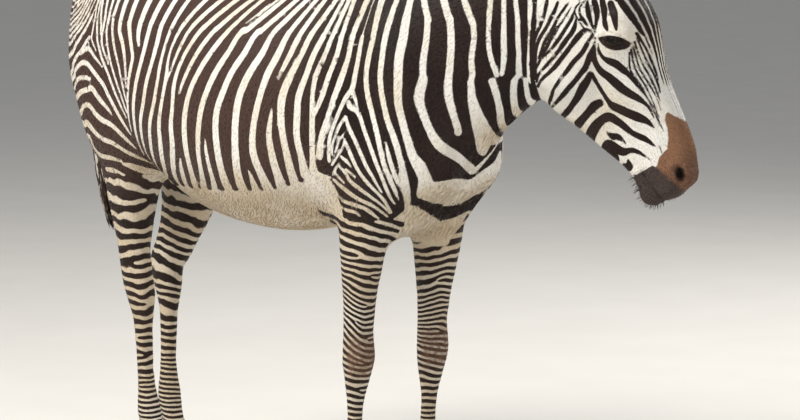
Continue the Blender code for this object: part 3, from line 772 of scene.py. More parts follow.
HAUNCH_PALE = [
    [(-589, 852, 6), (-550, 852, 7), (-520, 842, 7), (-494, 829, 6), (-455, 823, 5)],
    [(-504, 873, 4), (-481, 868, 9), (-455, 855, 12), (-416, 844, 8)],
    [(-650, 938, 8), (-632, 909, 9), (-611, 894, 8), (-585, 888, 7), (-546, 887, 6), (-507, 881, 4)],
    [(-694, 964, 10), (-650, 970, 8), (-627, 976, 9), (-611, 969, 10), (-585, 951, 8), (-559, 938, 7),
     (-520, 930, 7), (-494, 917, 6), (-468, 904, 6), (-434, 891, 5), (-403, 880, 3)],
    [(-683, 995, 9), (-655, 1006, 8), (-637, 1020, 7), (-611, 1026, 7), (-593, 1023, 7), (-572, 1006, 8),
     (-546, 991, 8), (-507, 979, 7), (-481, 961, 7), (-455, 938, 6), (-434, 920, 3)],
    [(-694, 1039, 8), (-668, 1049, 8), (-637, 1060, 7), (-600, 1068, 7), (-580, 1073, 8), (-559, 1057, 8),
     (-533, 1037, 7), (-507, 1018, 5), (-497, 1006, 2)],
    [(-720, 1060, 5), (-694, 1073, 5), (-668, 1088, 6), (-642, 1096, 6), (-611, 1099, 6), (-587, 1095, 5)],
    [(-707, 1091, 7), (-681, 1112, 6), (-650, 1128, 6), (-624, 1138, 7), (-598, 1136, 7), (-572, 1120, 7),
     (-546, 1103, 7), (-520, 1083, 7), (-499, 1054, 7), (-476, 1023, 7), (-452, 987, 6), (-432, 958, 3)],
    [(-728, 1102, 7), (-694, 1128, 7), (-663, 1151, 6), (-637, 1166, 5), (-619, 1180, 5), (-598, 1198, 5),
     (-584, 1208, 4)],
    [(-634, 1159, 2), (-613, 1170, 5), (-588, 1177, 6), (-564, 1159, 5), (-546, 1148, 4), (-524, 1132, 2)],
    [(-588, 1174, 4), (-589, 1191, 3)],
    [(-720, 1151, 7), (-663, 1185, 6), (-637, 1203, 5), (-611, 1224, 5), (-590, 1244, 4), (-572, 1268, 3),
     (-562, 1288, 2)],
    [(-730, 1180, 5), (-690, 1196, 5), (-650, 1218, 4), (-618, 1240, 4), (-590, 1270, 3), (-574, 1300, 2)],
    [(-735, 1200, 4), (-700, 1210, 4), (-655, 1230, 4), (-622, 1254, 3), (-592, 1292, 3), (-582, 1312, 2)],
    [(-738, 1217, 4), (-700, 1226, 4), (-655, 1245, 4), (-625, 1268, 3), (-600, 1304, 3), (-590, 1325, 2)],
    [(-740, 1232, 4), (-700, 1240, 4), (-655, 1259, 4), (-628, 1281, 3), (-608, 1315, 3), (-600, 1335, 2)],
    [(-738, 1246, 3), (-700, 1254, 3), (-655, 1274, 4), (-632, 1295, 3), (-618, 1325, 3), (-612, 1345, 2)],
    [(-732, 1262, 3), (-690, 1272, 3), (-655, 1290, 3), (-636, 1310, 3), (-626, 1338, 3)],
    [(-725, 1280, 3), (-685, 1292, 3), (-655, 1307, 3), (-640, 1328, 3)],
    [(-558, 1300, 3), (-560, 1260, 3), (-570, 1222, 3), (-575, 1205, 3), (-566, 1190, 3), (-550, 1170, 2)],
    [(-546, 1300, 3), (-548, 1250, 4), (-547, 1205, 4), (-538, 1180, 4), (-520, 1148, 5), (-499, 1120, 5),
     (-481, 1091, 5), (-463, 1060, 5), (-445, 1030, 4), (-430, 1005, 3)],
    [(-537, 1300, 4), (-534, 1268, 4), (-530, 1240, 4), (-532, 1215, 2)],
    [(-517, 1300, 4), (-515, 1268, 4), (-520, 1234, 4), (-526, 1208, 4), (-522, 1185, 4), (-507, 1161, 3),
     (-491, 1140, 2)],
    [(-496, 1300, 4), (-499, 1268, 4), (-504, 1240, 4), (-504, 1211, 4), (-494, 1175, 4), (-481, 1143, 4),
     (-465, 1112, 4), (-447, 1078, 4), (-432, 1047, 4), (-419, 1018, 3)],
    [(-476, 1300, 5), (-481, 1268, 5), (-481, 1234, 5), (-473, 1200, 5), (-460, 1169, 5), (-444, 1138, 4),
     (-432, 1104, 4), (-421, 1073, 4), (-413, 1044, 2)],
    [(-715, 1298, 3), (-682, 1316, 3), (-664, 1345, 3)],
    [(-705, 1322, 3), (-690, 1334, 3), (-684, 1356, 3)],
]
SHOULDER_PALE = [
    [(452, 1333, 7), (454, 1285, 7), (456, 1240, 7), (453, 1190, 7), (454, 1150, 7), (465, 1105, 7),
     (486, 1050, 7), (505, 1000, 7), (520, 950, 6), (531, 915, 6), (538, 880, 5), (538, 850, 4)],
    [(524, 1001, 2), (535, 961, 5), (544, 925, 5), (550, 892, 5), (551, 865, 4)],
    [(486, 1333, 6), (486, 1300, 7), (487, 1250, 7), (490, 1200, 7), (493, 1150, 7), (506, 1100, 7),
     (522, 1055, 7), (540, 1018, 7), (552, 987, 7), (562, 950, 7), (568, 915, 7), (570, 890, 6),
     (567, 850, 5)],
    [(409, 1093, 4), (411, 1081, 6), (437, 1068, 6), (460, 1024, 6), (478, 991, 6), (496, 955, 6),
     (511, 919, 5), (518, 886, 5), (523, 850, 3)],
    [(401, 1058, 3), (409, 1034, 6), (430, 1000, 6), (448, 970, 6), (466, 940, 6), (487, 910, 5),
     (503, 878, 3)],
    [(398, 1000, 3), (412, 970, 6), (427, 940, 6), (442, 919, 6), (463, 898, 6), (484, 880, 5),
     (502, 856, 5), (505, 820, 3)],
    [(383, 957, 4), (400, 946, 5), (412, 934, 2)],
    [(394, 925, 4), (421, 910, 3)],
    [(376, 931, 4), (391, 916, 5), (401, 898, 6), (430, 880, 6), (460, 865, 5), (490, 844, 4),
     (502, 820, 3)],
    [(356, 916, 4), (379, 892, 3)],
    [(350, 897, 4), (370, 880, 6), (400, 862, 6), (430, 850, 5), (460, 841, 5), (484, 823, 4),
     (496, 805, 3)],
    [(344, 880, 3), (352, 856, 4), (370, 844, 5), (400, 838, 5), (430, 832, 5), (448, 823, 6),
     (466, 808, 3)],
    [(338, 865, 3), (349, 835, 3), (370, 823, 4), (400, 820, 4), (415, 811, 3)],
    [(402, 1057, 4), (385, 1036, 4), (373, 1012, 3), (361, 988, 3), (356, 961, 3)],
    [(397, 1015, 2), (382, 997, 3), (370, 973, 3), (364, 958, 2)],
    [(398, 1000, 3), (391, 979, 3), (373, 958, 3), (352, 934, 3)],
    [(376, 940, 2), (361, 925, 3), (349, 910, 2)],
]
NECK_PALE = [
    [(519, 1333, 8), (522, 1300, 9), (528, 1250, 10), (531, 1200, 10), (538, 1150, 10), (544, 1100, 9),
     (559, 1050, 8), (575, 1000, 8), (584, 970, 10), (596, 945, 13), (612, 920, 20)],
    [(556, 1333, 7), (572, 1300, 7), (580, 1250, 7), (582, 1200, 7), (589, 1150, 6), (598, 1100, 6),
     (613, 1050, 7), (628, 1020, 8), (645, 998, 8), (660, 980, 8)],
    [(606, 1333, 8), (625, 1300, 8), (637, 1250, 8), (641, 1200, 8), (640, 1150, 8), (642, 1100, 8),
     (653, 1050, 6), (661, 1020, 3)],
    [(655, 1333, 7), (678, 1295, 6), (687, 1250, 6), (686, 1200, 6), (692, 1150, 6), (696, 1100, 7),
     (698, 1062, 9), (695, 1030, 13), (694, 1000, 14)],
    [(710, 1333, 6), (713, 1300, 5), (718, 1250, 5), (727, 1200, 5), (739, 1155, 5), (740, 1100, 5),
     (736, 1055, 6)],
    [(740, 1333, 5), (745, 1300, 5), (750, 1250, 6), (751, 1200, 5), (743, 1152, 4)],
    [(767, 1333, 5), (774, 1300, 5), (778, 1250, 5), (776, 1200, 4), (769, 1150, 4), (760, 1092, 5),
     (755, 1060, 6)],
    [(799, 1347, 5), (804, 1263, 5), (790, 1172, 5), (775, 1130, 5), (765, 1100, 6)],
    [(822, 1345, 5), (822, 1276, 4), (812, 1246, 2)],
]

# %% Strokes of the face and the breast
FACE_DARK = [
    [(252, -92, 4), (262, -105, 7), (272, -125, 8), (285, -150, 7), (295, -175, 6), (303, -200, 6),
     (306, -222, 5)],
    [(255, -90, 4), (290, -93, 4), (330, -92, 5), (345, -88, 8), (360, -77, 9), (380, -62, 9),
     (400, -46, 9), (415, -35, 6), (437, -27, 2)],
    [(187, -36, 1), (198, -49, 2), (207, -60, 4), (216, -71, 6), (225, -81, 6), (235, -94, 6),
     (242, -112, 5), (249, -129, 5), (255, -149, 5), (262, -171, 5), (268, -195, 4), (273, -221, 3),
     (274, -232, 2)],
    [(179, -42, 3), (185, -56, 4), (192, -68, 5), (201, -84, 5), (207, -103, 5), (212, -118, 5),
     (220, -136, 5), (227, -156, 4), (235, -175, 4), (241, -190, 3), (250, -205, 4), (259, -223, 4),
     (266, -233, 3)],
    [(178, -38, 2), (165, -42, 3), (158, -51, 5), (161, -68, 6), (166, -82, 6), (173, -99, 5),
     (181, -116, 5), (188, -134, 5), (196, -155, 5), (202, -177, 4), (205, -195, 4), (210, -214, 3),
     (216, -229, 3)],
    [(124, -57, 2), (138, -70, 5), (148, -84, 5), (153, -97, 5), (161, -114, 5), (170, -134, 4),
     (177, -153, 4), (183, -171, 4), (188, -190, 3), (194, -208, 3), (205, -223, 3)],
    [(107, -53, 2), (118, -68, 4), (126, -82, 4), (135, -99, 4), (144, -116, 4), (151, -132, 4),
     (158, -152, 3), (163, -179, 3), (172, -195, 3), (181, -208, 2), (194, -221, 2)],
    [(94, -55, 1), (103, -73, 2), (112, -90, 2), (117, -103, 3), (127, -121, 4), (138, -140, 4),
     (148, -156, 4), (157, -175, 3), (170, -192, 2)],
    [(81, -56, 2), (90, -77, 3), (99, -97, 3), (111, -114, 4), (122, -132, 4), (131, -149, 4),
     (144, -167, 3), (160, -186, 2)],
    [(66, -79, 3), (79, -95, 4), (94, -117, 4), (107, -136, 4), (116, -154, 4), (127, -170, 4),
     (146, -188, 4), (168, -201, 4), (196, -220, 4)],
    [(51, -103, 4), (66, -116, 4), (81, -130, 4), (98, -151, 4), (109, -167, 4), (123, -182, 5),
     (150, -201, 6)],
    [(20, -120, 6), (35, -130, 5), (60, -143, 5), (85, -160, 6), (110, -182, 7), (140, -200, 7),
     (170, -218, 7), (200, -235, 7), (232, -250, 7), (255, -262, 7)],
    [(135, 35, 7), (160, 32, 8), (185, 23, 5), (195, 19, 2)],
    [(118, 20, 6), (140, 14, 7), (158, 5, 5), (170, 0, 6), (184, -1, 3)],
    [(110, 2, 6), (130, -3, 7), (145, -10, 5), (160, -22, 3), (175, -30, 1)],
    [(100, -12, 2), (115, -20, 5), (135, -26, 5), (155, -30, 3), (175, -33, 1)],
    [(98, -20, 2), (105, -35, 2), (118, -43, 3), (140, -42, 4), (152, -40, 2)],
    [(95, -25, 2), (98, -40, 2), (105, -51, 2), (118, -54, 2), (140, -53, 2), (156, -50, 2)],
    [(200, -37, 1), (215, -45, 3), (235, -45, 4), (250, -36, 7), (265, -25, 8), (285, -18, 7),
     (300, -13, 5), (330, -9, 3), (360, -5, 2), (380, -4, 1), (405, -4, 1), (440, -15, 1)],
    [(186, -38, 2), (205, -51, 3), (220, -62, 5), (240, -68, 6), (260, -67, 7), (280, -59, 8),
     (300, -52, 9), (320, -45, 9), (340, -35, 8), (355, -26, 7), (375, -17, 4), (395, -13, 3),
     (418, -16, 1)],
    [(478, -46, 1), (465, -52, 4), (450, -60, 6), (435, -72, 6), (420, -82, 6), (400, -90, 7),
     (380, -100, 8), (363, -111, 9), (360, -130, 9), (365, -150, 10), (374, -170, 11), (385, -190, 12)],
    [(436, -109, 2), (424, -113, 4), (414, -119, 7), (408, -128, 7), (399, -134, 4), (388, -137, 1)],
    [(502, -74, 1), (490, -78, 2), (475, -88, 4), (462, -98, 5), (455, -112, 6), (451, -127, 8),
     (435, -138, 10), (420, -150, 11), (432, -164, 13), (452, -156, 12)],
    [(475, -126, 3), (488, -131, 8), (486, -143, 9)],
    [(323, -114, 8), (323, -130, 9), (329, -150, 8), (335, -170, 8), (341, -192, 9)],
    [(478, -37, 1), (500, -40, 1), (515, -47, 1), (542, -56, 1)],
    # beside the eye, down the edge of the nose
    [(256, 16, 2), (292, -4, 2), (336, -2, 2), (392, -7, 1), (430, -10, 2), (456, -12, 1)],
    [(252, 23, 2), (294, 7, 2), (340, 6, 2), (386, 1, 1), (422, -5, 1)],
    [(250, 31, 2), (294, 17, 2), (324, 15, 2), (352, 15, 2), (378, 13, 1), (410, 7, 1)],
    [(240, 40, 2), (268, 32, 2), (298, 27, 2), (324, 26, 2), (356, 22, 2), (390, 16, 1)],
    [(236, 49, 2), (266, 43, 2), (296, 38, 2), (320, 36, 2), (348, 32, 2), (372, 26, 1)],
    [(225, 54, 3), (264, 52, 2), (290, 48, 2), (320, 42, 2), (344, 36, 1)],
    # the nape and the temple, up to the ear
    [(90, -32, 1), (87, -5, 3), (88, 30, 4)],
    [(72, -62, 1), (66, -25, 4), (67, 40, 4)],
    [(50, -86, 2), (45, -45, 4), (45, 45, 4)],
    [(30, -104, 2), (23, -50, 4), (22, 55, 4)],
    [(8, -100, 3), (1, -50, 4), (0, 55, 4)],
    [(112, 24, 2), (106, 40, 4), (104, 70, 5)],
]
BREAST_PALE = [
    [(-172, 1180, 4), (-172, 1100, 4), (-172, 1050, 4), (-172, 1000, 5), (-162, 950, 6), (-152, 910, 6),
     (-140, 880, 6), (-128, 855, 5), (-112, 825, 5)],
    [(-146, 1200, 8), (-148, 1160, 7), (-158, 1100, 6), (-155, 1050, 6), (-148, 1000, 7), (-140, 965, 8),
     (-128, 930, 9), (-116, 900, 12), (-104, 885, 20)],
    [(-110, 1200, 7), (-112, 1160, 7), (-125, 1110, 8), (-122, 1070, 7), (-115, 1030, 7), (-107, 1003, 10),
     (-92, 985, 12), (-60, 966, 11), (-30, 949, 10), (0, 934, 10), (15, 926, 8), (28, 944, 5), (45, 968, 3),
     (62, 992, 2)],
    [(-82, 1200, 6), (-80, 1160, 6), (-78, 1110, 6), (-72, 1070, 6), (-65, 1040, 7), (-63, 1026, 8)],
    [(-54, 1200, 6), (-50, 1150, 6), (-47, 1120, 6), (-42, 1095, 8), (-31, 1062, 12), (-18, 1036, 16),
     (-2, 1013, 20), (13, 990, 19), (24, 972, 8)],
    [(0, 1020, 14), (30, 1004, 12), (60, 1000, 9), (90, 1004, 8)],
    [(-26, 1200, 6), (-20, 1165, 6), (-10, 1130, 6), (0, 1100, 6), (8, 1080, 7), (18, 1056, 8),
     (32, 1040, 8), (50, 1031, 8), (80, 1030, 9), (130, 1045, 9)],
    [(14, 1200, 6), (18, 1170, 6), (22, 1130, 6), (32, 1100, 7), (45, 1080, 8), (62, 1069, 8),
     (90, 1066, 9), (130, 1080, 9)],
    [(34, 1180, 4), (40, 1150, 4), (50, 1125, 5), (62, 1108, 5), (80, 1096, 6), (110, 1092, 7)],
    [(-100, 884, 23), (-60, 880, 32), (-20, 875, 33), (10, 866, 38), (35, 882, 30), (60, 901, 34),
     (78, 930, 22), (84, 962, 10)],
    [(104, 1010, 8), (108, 960, 8), (112, 910, 10), (104, 870, 12)],
]
print("strokes:", sum(map(len, (BARREL_PALE, HAUNCH_PALE, SHOULDER_PALE, NECK_PALE, FACE_DARK, BREAST_PALE))))

# %% [markdown]
# The left side is not a mirror of the right: the same strokes are bent a little there. The spine carries a
# dark line between two pale ones over the croup, and the belly is pale.

# %% Fields of the markings
FAR_SIDE_BEND = 0.014
FACE_SWELL = 1.25
BODY_STROKES = [carried_on(stroke) for stroke in BARREL_PALE + HAUNCH_PALE + SHOULDER_PALE + NECK_PALE]
# height, then the count of rings there
FORE_RINGS = (
    [0.05, 0.10, 0.20, 0.30, 0.40, 0.50, 0.60, 0.70, 0.80, 0.90],
    [50.4, 46.2, 37.9, 29.6, 23.3, 16.7, 10, 4.2, 0, -4],
)
HIND_RINGS = (
    [0.05, 0.10, 0.20, 0.30, 0.40, 0.50, 0.60, 0.70, 0.80, 0.86, 0.92],
    [38, 34, 26, 18.5, 14, 10, 6.5, 3.5, 1.3, 0, -1.2],
)
# by height, how much rings lean towards the front left, and how much they droop (+) or peak (-) in front
RING_HEIGHTS = [0.30, 0.40, 0.46, 0.52, 0.60, 0.68, 0.80]
RING_LEANS = {
    "fore_right": [0, 0.08, 0.15, 0.30, 0.35, 0.27, 0.27],
    "fore_left": [0, 0.20, 0.50, 0.35, 0.0, -0.15, -0.25],
    "hind_right": [0, 0.0, 0.10, -0.10, -0.20, 0.05, 0.10],
    "hind_left": [0, 0.0, 0.0, -0.15, 0.0, 0.10, 0.15],
}
RING_DROOPS = {
    "fore_right": [0.05, 0.22, 0.28, 0.50, 0.35, 0.05, 0],
    "fore_left": [0, 0, -0.2, -0.7, -0.5, 0, 0],
    "hind_right": [0.1, 0.0, 0.25, 0.45, 0.20, 0.05, 0.0],
    "hind_left": [0.1, 0.05, 0.20, 0.30, 0.35, 0.1, 0.0],
}
RING_AXES = {
    "fore_right": (0.375, -0.115),
    "fore_left": (0.405, 0.125),
    "hind_right": (-0.565, -0.075),
    "hind_left": (-0.47, 0.10),
}
ACROSS = (0.676, 0.737)


def body_field(body):
    """Dark above zero and pale below, in metres, by the strokes of the side."""
    x, y, z = body.T
    bend = np.where(y > 0, FAR_SIDE_BEND * np.sin(x * 11 + z * 7 + 1) * ramp(y, 0.0, 0.06), 0)
    places = np.column_stack([x + bend, z + 0.4 * bend])
    return gap_to_strokes(places, BODY_STROKES)


BELLY_LINE = (
    [-0.46, -0.41, -0.37, -0.30, -0.10, 0.0, 0.15, 0.25, 0.30, 0.335, 0.36, 0.40, 0.60],
    [0.60, 0.78, 0.838, 0.838, 0.843, 0.85, 0.858, 0.885, 0.915, 0.915, 0.80, 0.76, 0.74],
)
BREAST_END = (
    [-0.135, -0.118, -0.10, -0.075, -0.04, 0.0, 0.015, 0.06, 0.10, 0.13],
    [0.79, 0.846, 0.842, 0.830, 0.815, 0.800, 0.789, 0.800, 0.815, 0.80],
)
# along the head, then up it: the brown nose's lower and upper edges, and the top of the dusky lips
NOSE_LOWER = (
    [0.415, 0.42, 0.432, 0.456, 0.478, 0.498, 0.505, 0.52, 0.55],
    [0.026, 0.016, 0.004, -0.002, -0.012, -0.025, -0.052, -0.066, -0.09],
)
NOSE_UPPER = ([0.42, 0.45, 0.472, 0.482], [0.018, 0.034, 0.042, 0.2])
LIPS_TOP = (
    [0.50, 0.52, 0.528, 0.552, 0.572, 0.598, 0.61],
    [-0.088, -0.070, -0.067, -0.055, -0.049, -0.043, -0.042],
)
FOREHEAD_LOWER = (
    [0.0, 0.14, 0.19, 0.24, 0.27, 0.30, 0.34, 0.40],
    [0.02, 0.048, 0.052, 0.062, 0.057, 0.053, 0.042, 0.030],
)
CHEEK_BORDER = (
    [-0.05, 0.02, 0.03, 0.10, 0.20, 0.26, 0.40],
    [-0.02, -0.09, -0.135, -0.178, -0.238, -0.27, -0.30],
)
LINE_TURN = 7.4
NOSE_STARTS, LIPS_START = 0.417, 0.514
NOSTRIL_OVAL = (0.563, -0.026)
NOSTRIL_HALF = (0.019, 0.0125)
NOSTRIL_LEAN = 0.15
EYE_PATCH = (0.003, 0.004)
EYE_PATCH_HALF = (0.041, 0.025)
LID_RIM = 0.0016
DORSAL_HALF, DORSAL_EDGE = 0.014, 0.034


def belly_line(x):
    return np.interp(x, *BELLY_LINE)


def leg_rings(body):
    """The count of rings up each leg, which leans and droops by height, and where rings take over."""
    x, y, z = body.T
    count = np.zeros(len(x))
    for leg, (leg_x, leg_y) in RING_AXES.items():
        fore = leg.startswith("fore")
        here = ((x > -0.1) == fore) & ((y > 0) == leg.endswith("left"))
        across = (x - leg_x) * ACROSS[0] + (y - leg_y) * ACROSS[1]
        lean = np.interp(z, RING_HEIGHTS, RING_LEANS[leg])
        droop = np.interp(z, RING_HEIGHTS, RING_DROOPS[leg])
        height = z + lean * across - droop * (np.hypot(across, 0.012) - 0.012)
        count = np.where(here, np.interp(height, *(FORE_RINGS if fore else HIND_RINGS)), count)
    hind = x < -0.1
    columns = np.where(hind, ramp(x, -0.36, -0.40), ramp(x, 0.22, 0.26) * ramp(x, 0.62, 0.58))
    columns = columns * ramp(np.abs(y), 0.015, 0.03)
    top = np.where(hind, 0.842 + 0.1 * (x + 0.5), 0.80 + 0.12 * np.abs(x - 0.42))
    armpit = ramp(z, 0.70, 0.77) * ramp(np.abs(y), 0.105, 0.085) * ~hind
    return count, columns * ramp(z, top + 0.004, top - 0.004) * (1 - armpit)


def forehead(head):
    """Phase, dark share and presence of the fine lines along the forehead."""
    u, v, w = head.T
    turn = np.degrees(np.arctan2(np.abs(w), v + 0.035 + 0.1 * ramp(u, 0.30, 0.16)))
    phase = turn / LINE_TURN + 0.8 * ramp(u, 0.32, 0.16)
    dark = 0.54 + 0.24 * ramp(u, 0.32, 0.20)
    lower = np.interp(u, *FOREHEAD_LOWER)
    return phase, dark, ramp(v, lower - 0.004, lower + 0.004)


def nostril(head):
    """Distance inside the bare oval of each nostril; the face paints it dark: dark skin and painted shade."""
    u, v, w = head.T
    along = u - NOSTRIL_OVAL[0]
    across = v - NOSTRIL_OVAL[1] + NOSTRIL_LEAN * along
    oval = (1 - np.hypot(along / NOSTRIL_HALF[0], across / NOSTRIL_HALF[1])) * 0.013
    return np.where(np.abs(w) > 0.015, oval, -FAR)


def eye_shadow(points):
    """Distance inside the dark skin about each eye: round below and nearly straight above."""
    inside = np.full(len(points), -FAR)
    for side in (1, -1):
        a, b, out = on_eye(points, side)
        from_middle = np.hypot((a - EYE_PATCH[0]) / EYE_PATCH_HALF[0], (b - EYE_PATCH[1]) / EYE_PATCH_HALF[1])
        upper_edge = 0.0125 + 0.16 * a - 7 * a**2
        patch = np.minimum((1 - from_middle) * 0.022, upper_edge - b)
        inside = np.where(out > -0.03, np.maximum(inside, patch), inside)
    return inside


def markings(points, normals):
    """All fields of the coat at these points, as the attributes that the finish reads."""
    body, head = on_body(points), on_head(points)
    x, y, z = body.T
    u, v, w = head.T
    of_head = head_share(points)
    spine = np.abs(y)
    side = body_field(body)
    pale_belly = z - belly_line(x) + 0.35 * np.minimum(side, 0.02)
    side = np.minimum(side, pale_belly * 0.8)
    front = np.minimum(gap_to_strokes(body[:, 1:], BREAST_PALE), z - np.interp(y, *BREAST_END))
    low_breast = ramp(y, -0.142, -0.126) * ramp(y, 0.135, 0.115) * ramp(z, 1.06, 1.04) * ramp(x, 0.46, 0.50)
    high_breast = ramp(normals[:, 0], 0.50, 0.60) * ramp(z, 1.17, 1.15) * ramp(x, 0.46, 0.50)
    side = side + (front - side) * np.maximum(low_breast, high_breast)
    between_legs = ramp(spine, 0.090, 0.075) * ramp(z, 0.80, 0.78)
    side = side + (-0.01 - side) * between_legs
    croup = ramp(x, -0.25, -0.45) * ramp(z, 1.22, 1.28)
    pale_edge = -np.minimum(spine - DORSAL_HALF, DORSAL_EDGE - spine)
    dorsal = np.where(spine < DORSAL_HALF, DORSAL_HALF - spine, pale_edge)
    dorsal = np.where(spine < DORSAL_EDGE, dorsal, side)
    side = side + (dorsal - side) * croup * ramp(spine, 0.045, 0.034)
    face = -gap_to_strokes(head[:, :2], FACE_DARK, swell=FACE_SWELL)
    # The nostrils' ovals are painted as dark as a stripe: partly their dark skin, partly painted shade in the
    # openings.
    face = np.maximum(face, np.maximum(eye_shadow(points), nostril(head)))
    border = np.interp(u, *CHEEK_BORDER)
    on_face = ramp(v, border - 0.003, border + 0.003) * ramp(u, -0.01, 0.02)
    strokes = side + (face - side) * on_face
    rings, on_leg = leg_rings(body)
    line_phase, line_dark, lines = forehead(head)
    lines = lines * of_head * ramp(u, 0.0, 0.04)
    line_dark = line_dark * ramp(u, 0.385, 0.345)
    brown, dusky, cream = tints(points, body, head, normals, of_head)
    return {
        "strokes": np.column_stack([np.clip(strokes, -FAR, FAR) / MILLI, rings, on_leg]),
        "lines": np.column_stack([line_phase, line_dark, lines]),
        "tint": np.column_stack([brown / MILLI, dusky / MILLI, cream]),
    }


def tints(points, body, head, normals, of_head):
    """Metres inside the brown nose and inside the dusky skin of lips and lids, and a cream share."""
    x, y, z = body.T
    u, v, w = head.T
    lower = np.interp(u, *NOSE_LOWER)
    upper = np.interp(u, *NOSE_UPPER)
    lips_top = np.interp(u, *LIPS_TOP)
    nose = np.minimum(np.minimum(v - lower, upper - v), (u - NOSE_STARTS) * 0.6)
    tip = u - 0.508 - 0.5 * np.maximum(-0.045 - v, 0)
    nose = np.maximum(nose, np.minimum(tip, v - lips_top + 0.010))
    dusky = np.minimum(lips_top - v, u - LIPS_START)
    dusky = np.maximum(dusky, nostril(head))
    for side in (1, -1):
        a, b, out = on_eye(points, side)
        dusky = np.maximum(dusky, np.where(out > -0.004, LID_RIM - beyond_almond(a, b), -FAR))
    knee = ramp(z, 0.38, 0.43) * ramp(z, 0.54, 0.47) * (x > 0) * ramp(normals[:, 0], -0.4, 0.3)
    worn = np.where(knee > 0, (knee * 0.55 - 0.5) * 0.0044, -FAR)
    brown = np.where(of_head > 0.02, nose, worn)
    dusky = np.where(of_head > 0.02, dusky, -FAR)
    # Cream, darker than the pale: lower down and towards the rear, and where the skin faces down, which is
    # painted shade on the undersides.
    cream = np.maximum(ramp(z, 1.0, 0.80), 0.35 * ramp(x, -0.3, -0.6))
    cream = np.maximum(cream, ramp(normals[:, 2], -0.1, -0.7)) * (1 - of_head)
    return np.clip(brown, -FAR, FAR), np.clip(dusky, -FAR, FAR), cream + of_head * ramp(u, 0.505, 0.57)


def write_attributes(mesh, fields):
    for name, values in fields.items():
        layer = mesh.attributes.get(name) or mesh.attributes.new(name, "FLOAT_VECTOR", "POINT")
        layer.data.foreach_set("vector", values.astype(np.float32).ravel())


# %% [markdown]
# The finish turns the fields into colour. A stripe's edge is soft over a couple of millimetres, because hairs
# of both colours mix there, and it wanders a little with noise. The dark is a very dark brown that shines a
# little violet where light skims it. High on the barrel and croup it is lighter and browner, partly hair
# faded by sun and partly a painted highlight. The pale is a warm white, creamier lower down and towards the
# rear, and cream where the skin faces down, which is painted shade.

# %% The coat's finish
DARK_HAIR = colour(0.011, 0.007, 0.006)
DARK_HAIR_WORN = colour(0.036, 0.021, 0.017)
# The dark hair high on the barrel and croup is lighter and browner: partly hair faded by sun, partly a
# painted highlight where the top is lit.
DARK_HAIR_SUNBLEACH_AND_HIGHLIGHT = colour(0.075, 0.044, 0.034)
PALE_HAIR = colour(0.70, 0.63, 0.51)
PALE_HAIR_CLEAN = colour(0.78, 0.75, 0.69)
CREAM_HAIR = colour(0.52, 0.42, 0.29)
BROWN_HAIR = colour(0.215, 0.105, 0.055)
BROWN_HAIR_TIP = colour(0.120, 0.056, 0.034)
PALE_BROWN_HAIR = colour(0.34, 0.20, 0.12)
DUSKY_SKIN = colour(0.036, 0.028, 0.027)
DUSKY_HAIR = colour(0.088, 0.060, 0.048)
SUNBLEACH_AND_HIGHLIGHT_FROM = 0.20
RING_NOISE = 1.3
RING_DARK = 0.22
# forks of the rings on each leg: metres aside, height, and 1 or -1 turn
RING_FORKS = {
    "fore_right": [
        (-0.012, 0.71, 1), (0.020, 0.66, -1), (0.008, 0.585, 1), (-0.018, 0.545, -1),
        (0.012, 0.50, -1), (0.0, 0.44, 1), (-0.01, 0.37, -1), (0.01, 0.29, 1),
    ],
    "fore_left": [
        (0.015, 0.73, 1), (-0.012, 0.63, -1), (0.018, 0.57, 1),
        (-0.008, 0.50, 1), (0.010, 0.43, -1), (0.0, 0.35, -1),
    ],
    "hind_right": [
        (0.020, 0.77, 1), (-0.015, 0.60, -1), (0.015, 0.49, 1), (-0.008, 0.40, -1),
        (0.008, 0.355, 1), (-0.005, 0.27, -1), (0.008, 0.17, 1),
    ],
    "hind_left": [(-0.015, 0.71, -1), (0.015, 0.55, 1), (-0.010, 0.42, 1), (0.0, 0.30, -1), (0.005, 0.19, 1)],
}
EDGE_WANDER = 2.2
EDGE_SOFT = 1.1


def ring_disorder(recipe, place):
    """What is added to the count of rings: slow noise, and a turn round each fork, where one becomes two."""
    total = (recipe.noise(place, 13.0, 2.0) - 0.5) * RING_NOISE
    x, y, z = recipe.split(place)
    across = x * ACROSS[0] + y * ACROSS[1]
    for leg, forks in RING_FORKS.items():
        leg_x, leg_y = RING_AXES[leg]
        axis = (leg_x + BODY_SHIFT.x) * ACROSS[0] + (leg_y + BODY_SHIFT.y) * ACROSS[1]
        turns = [(z - height).turn_about(across - (axis + aside)) * sign for aside, height, sign in forks]
        lengthwise = x.above(0.0) if leg.startswith("fore") else x.below(0.0)
        sidewise = y.above(BODY_SHIFT.y) if leg.endswith("left") else y.below(BODY_SHIFT.y)
        total = total + sum(turns[1:], turns[0]) * (lengthwise * sidewise)
    return total


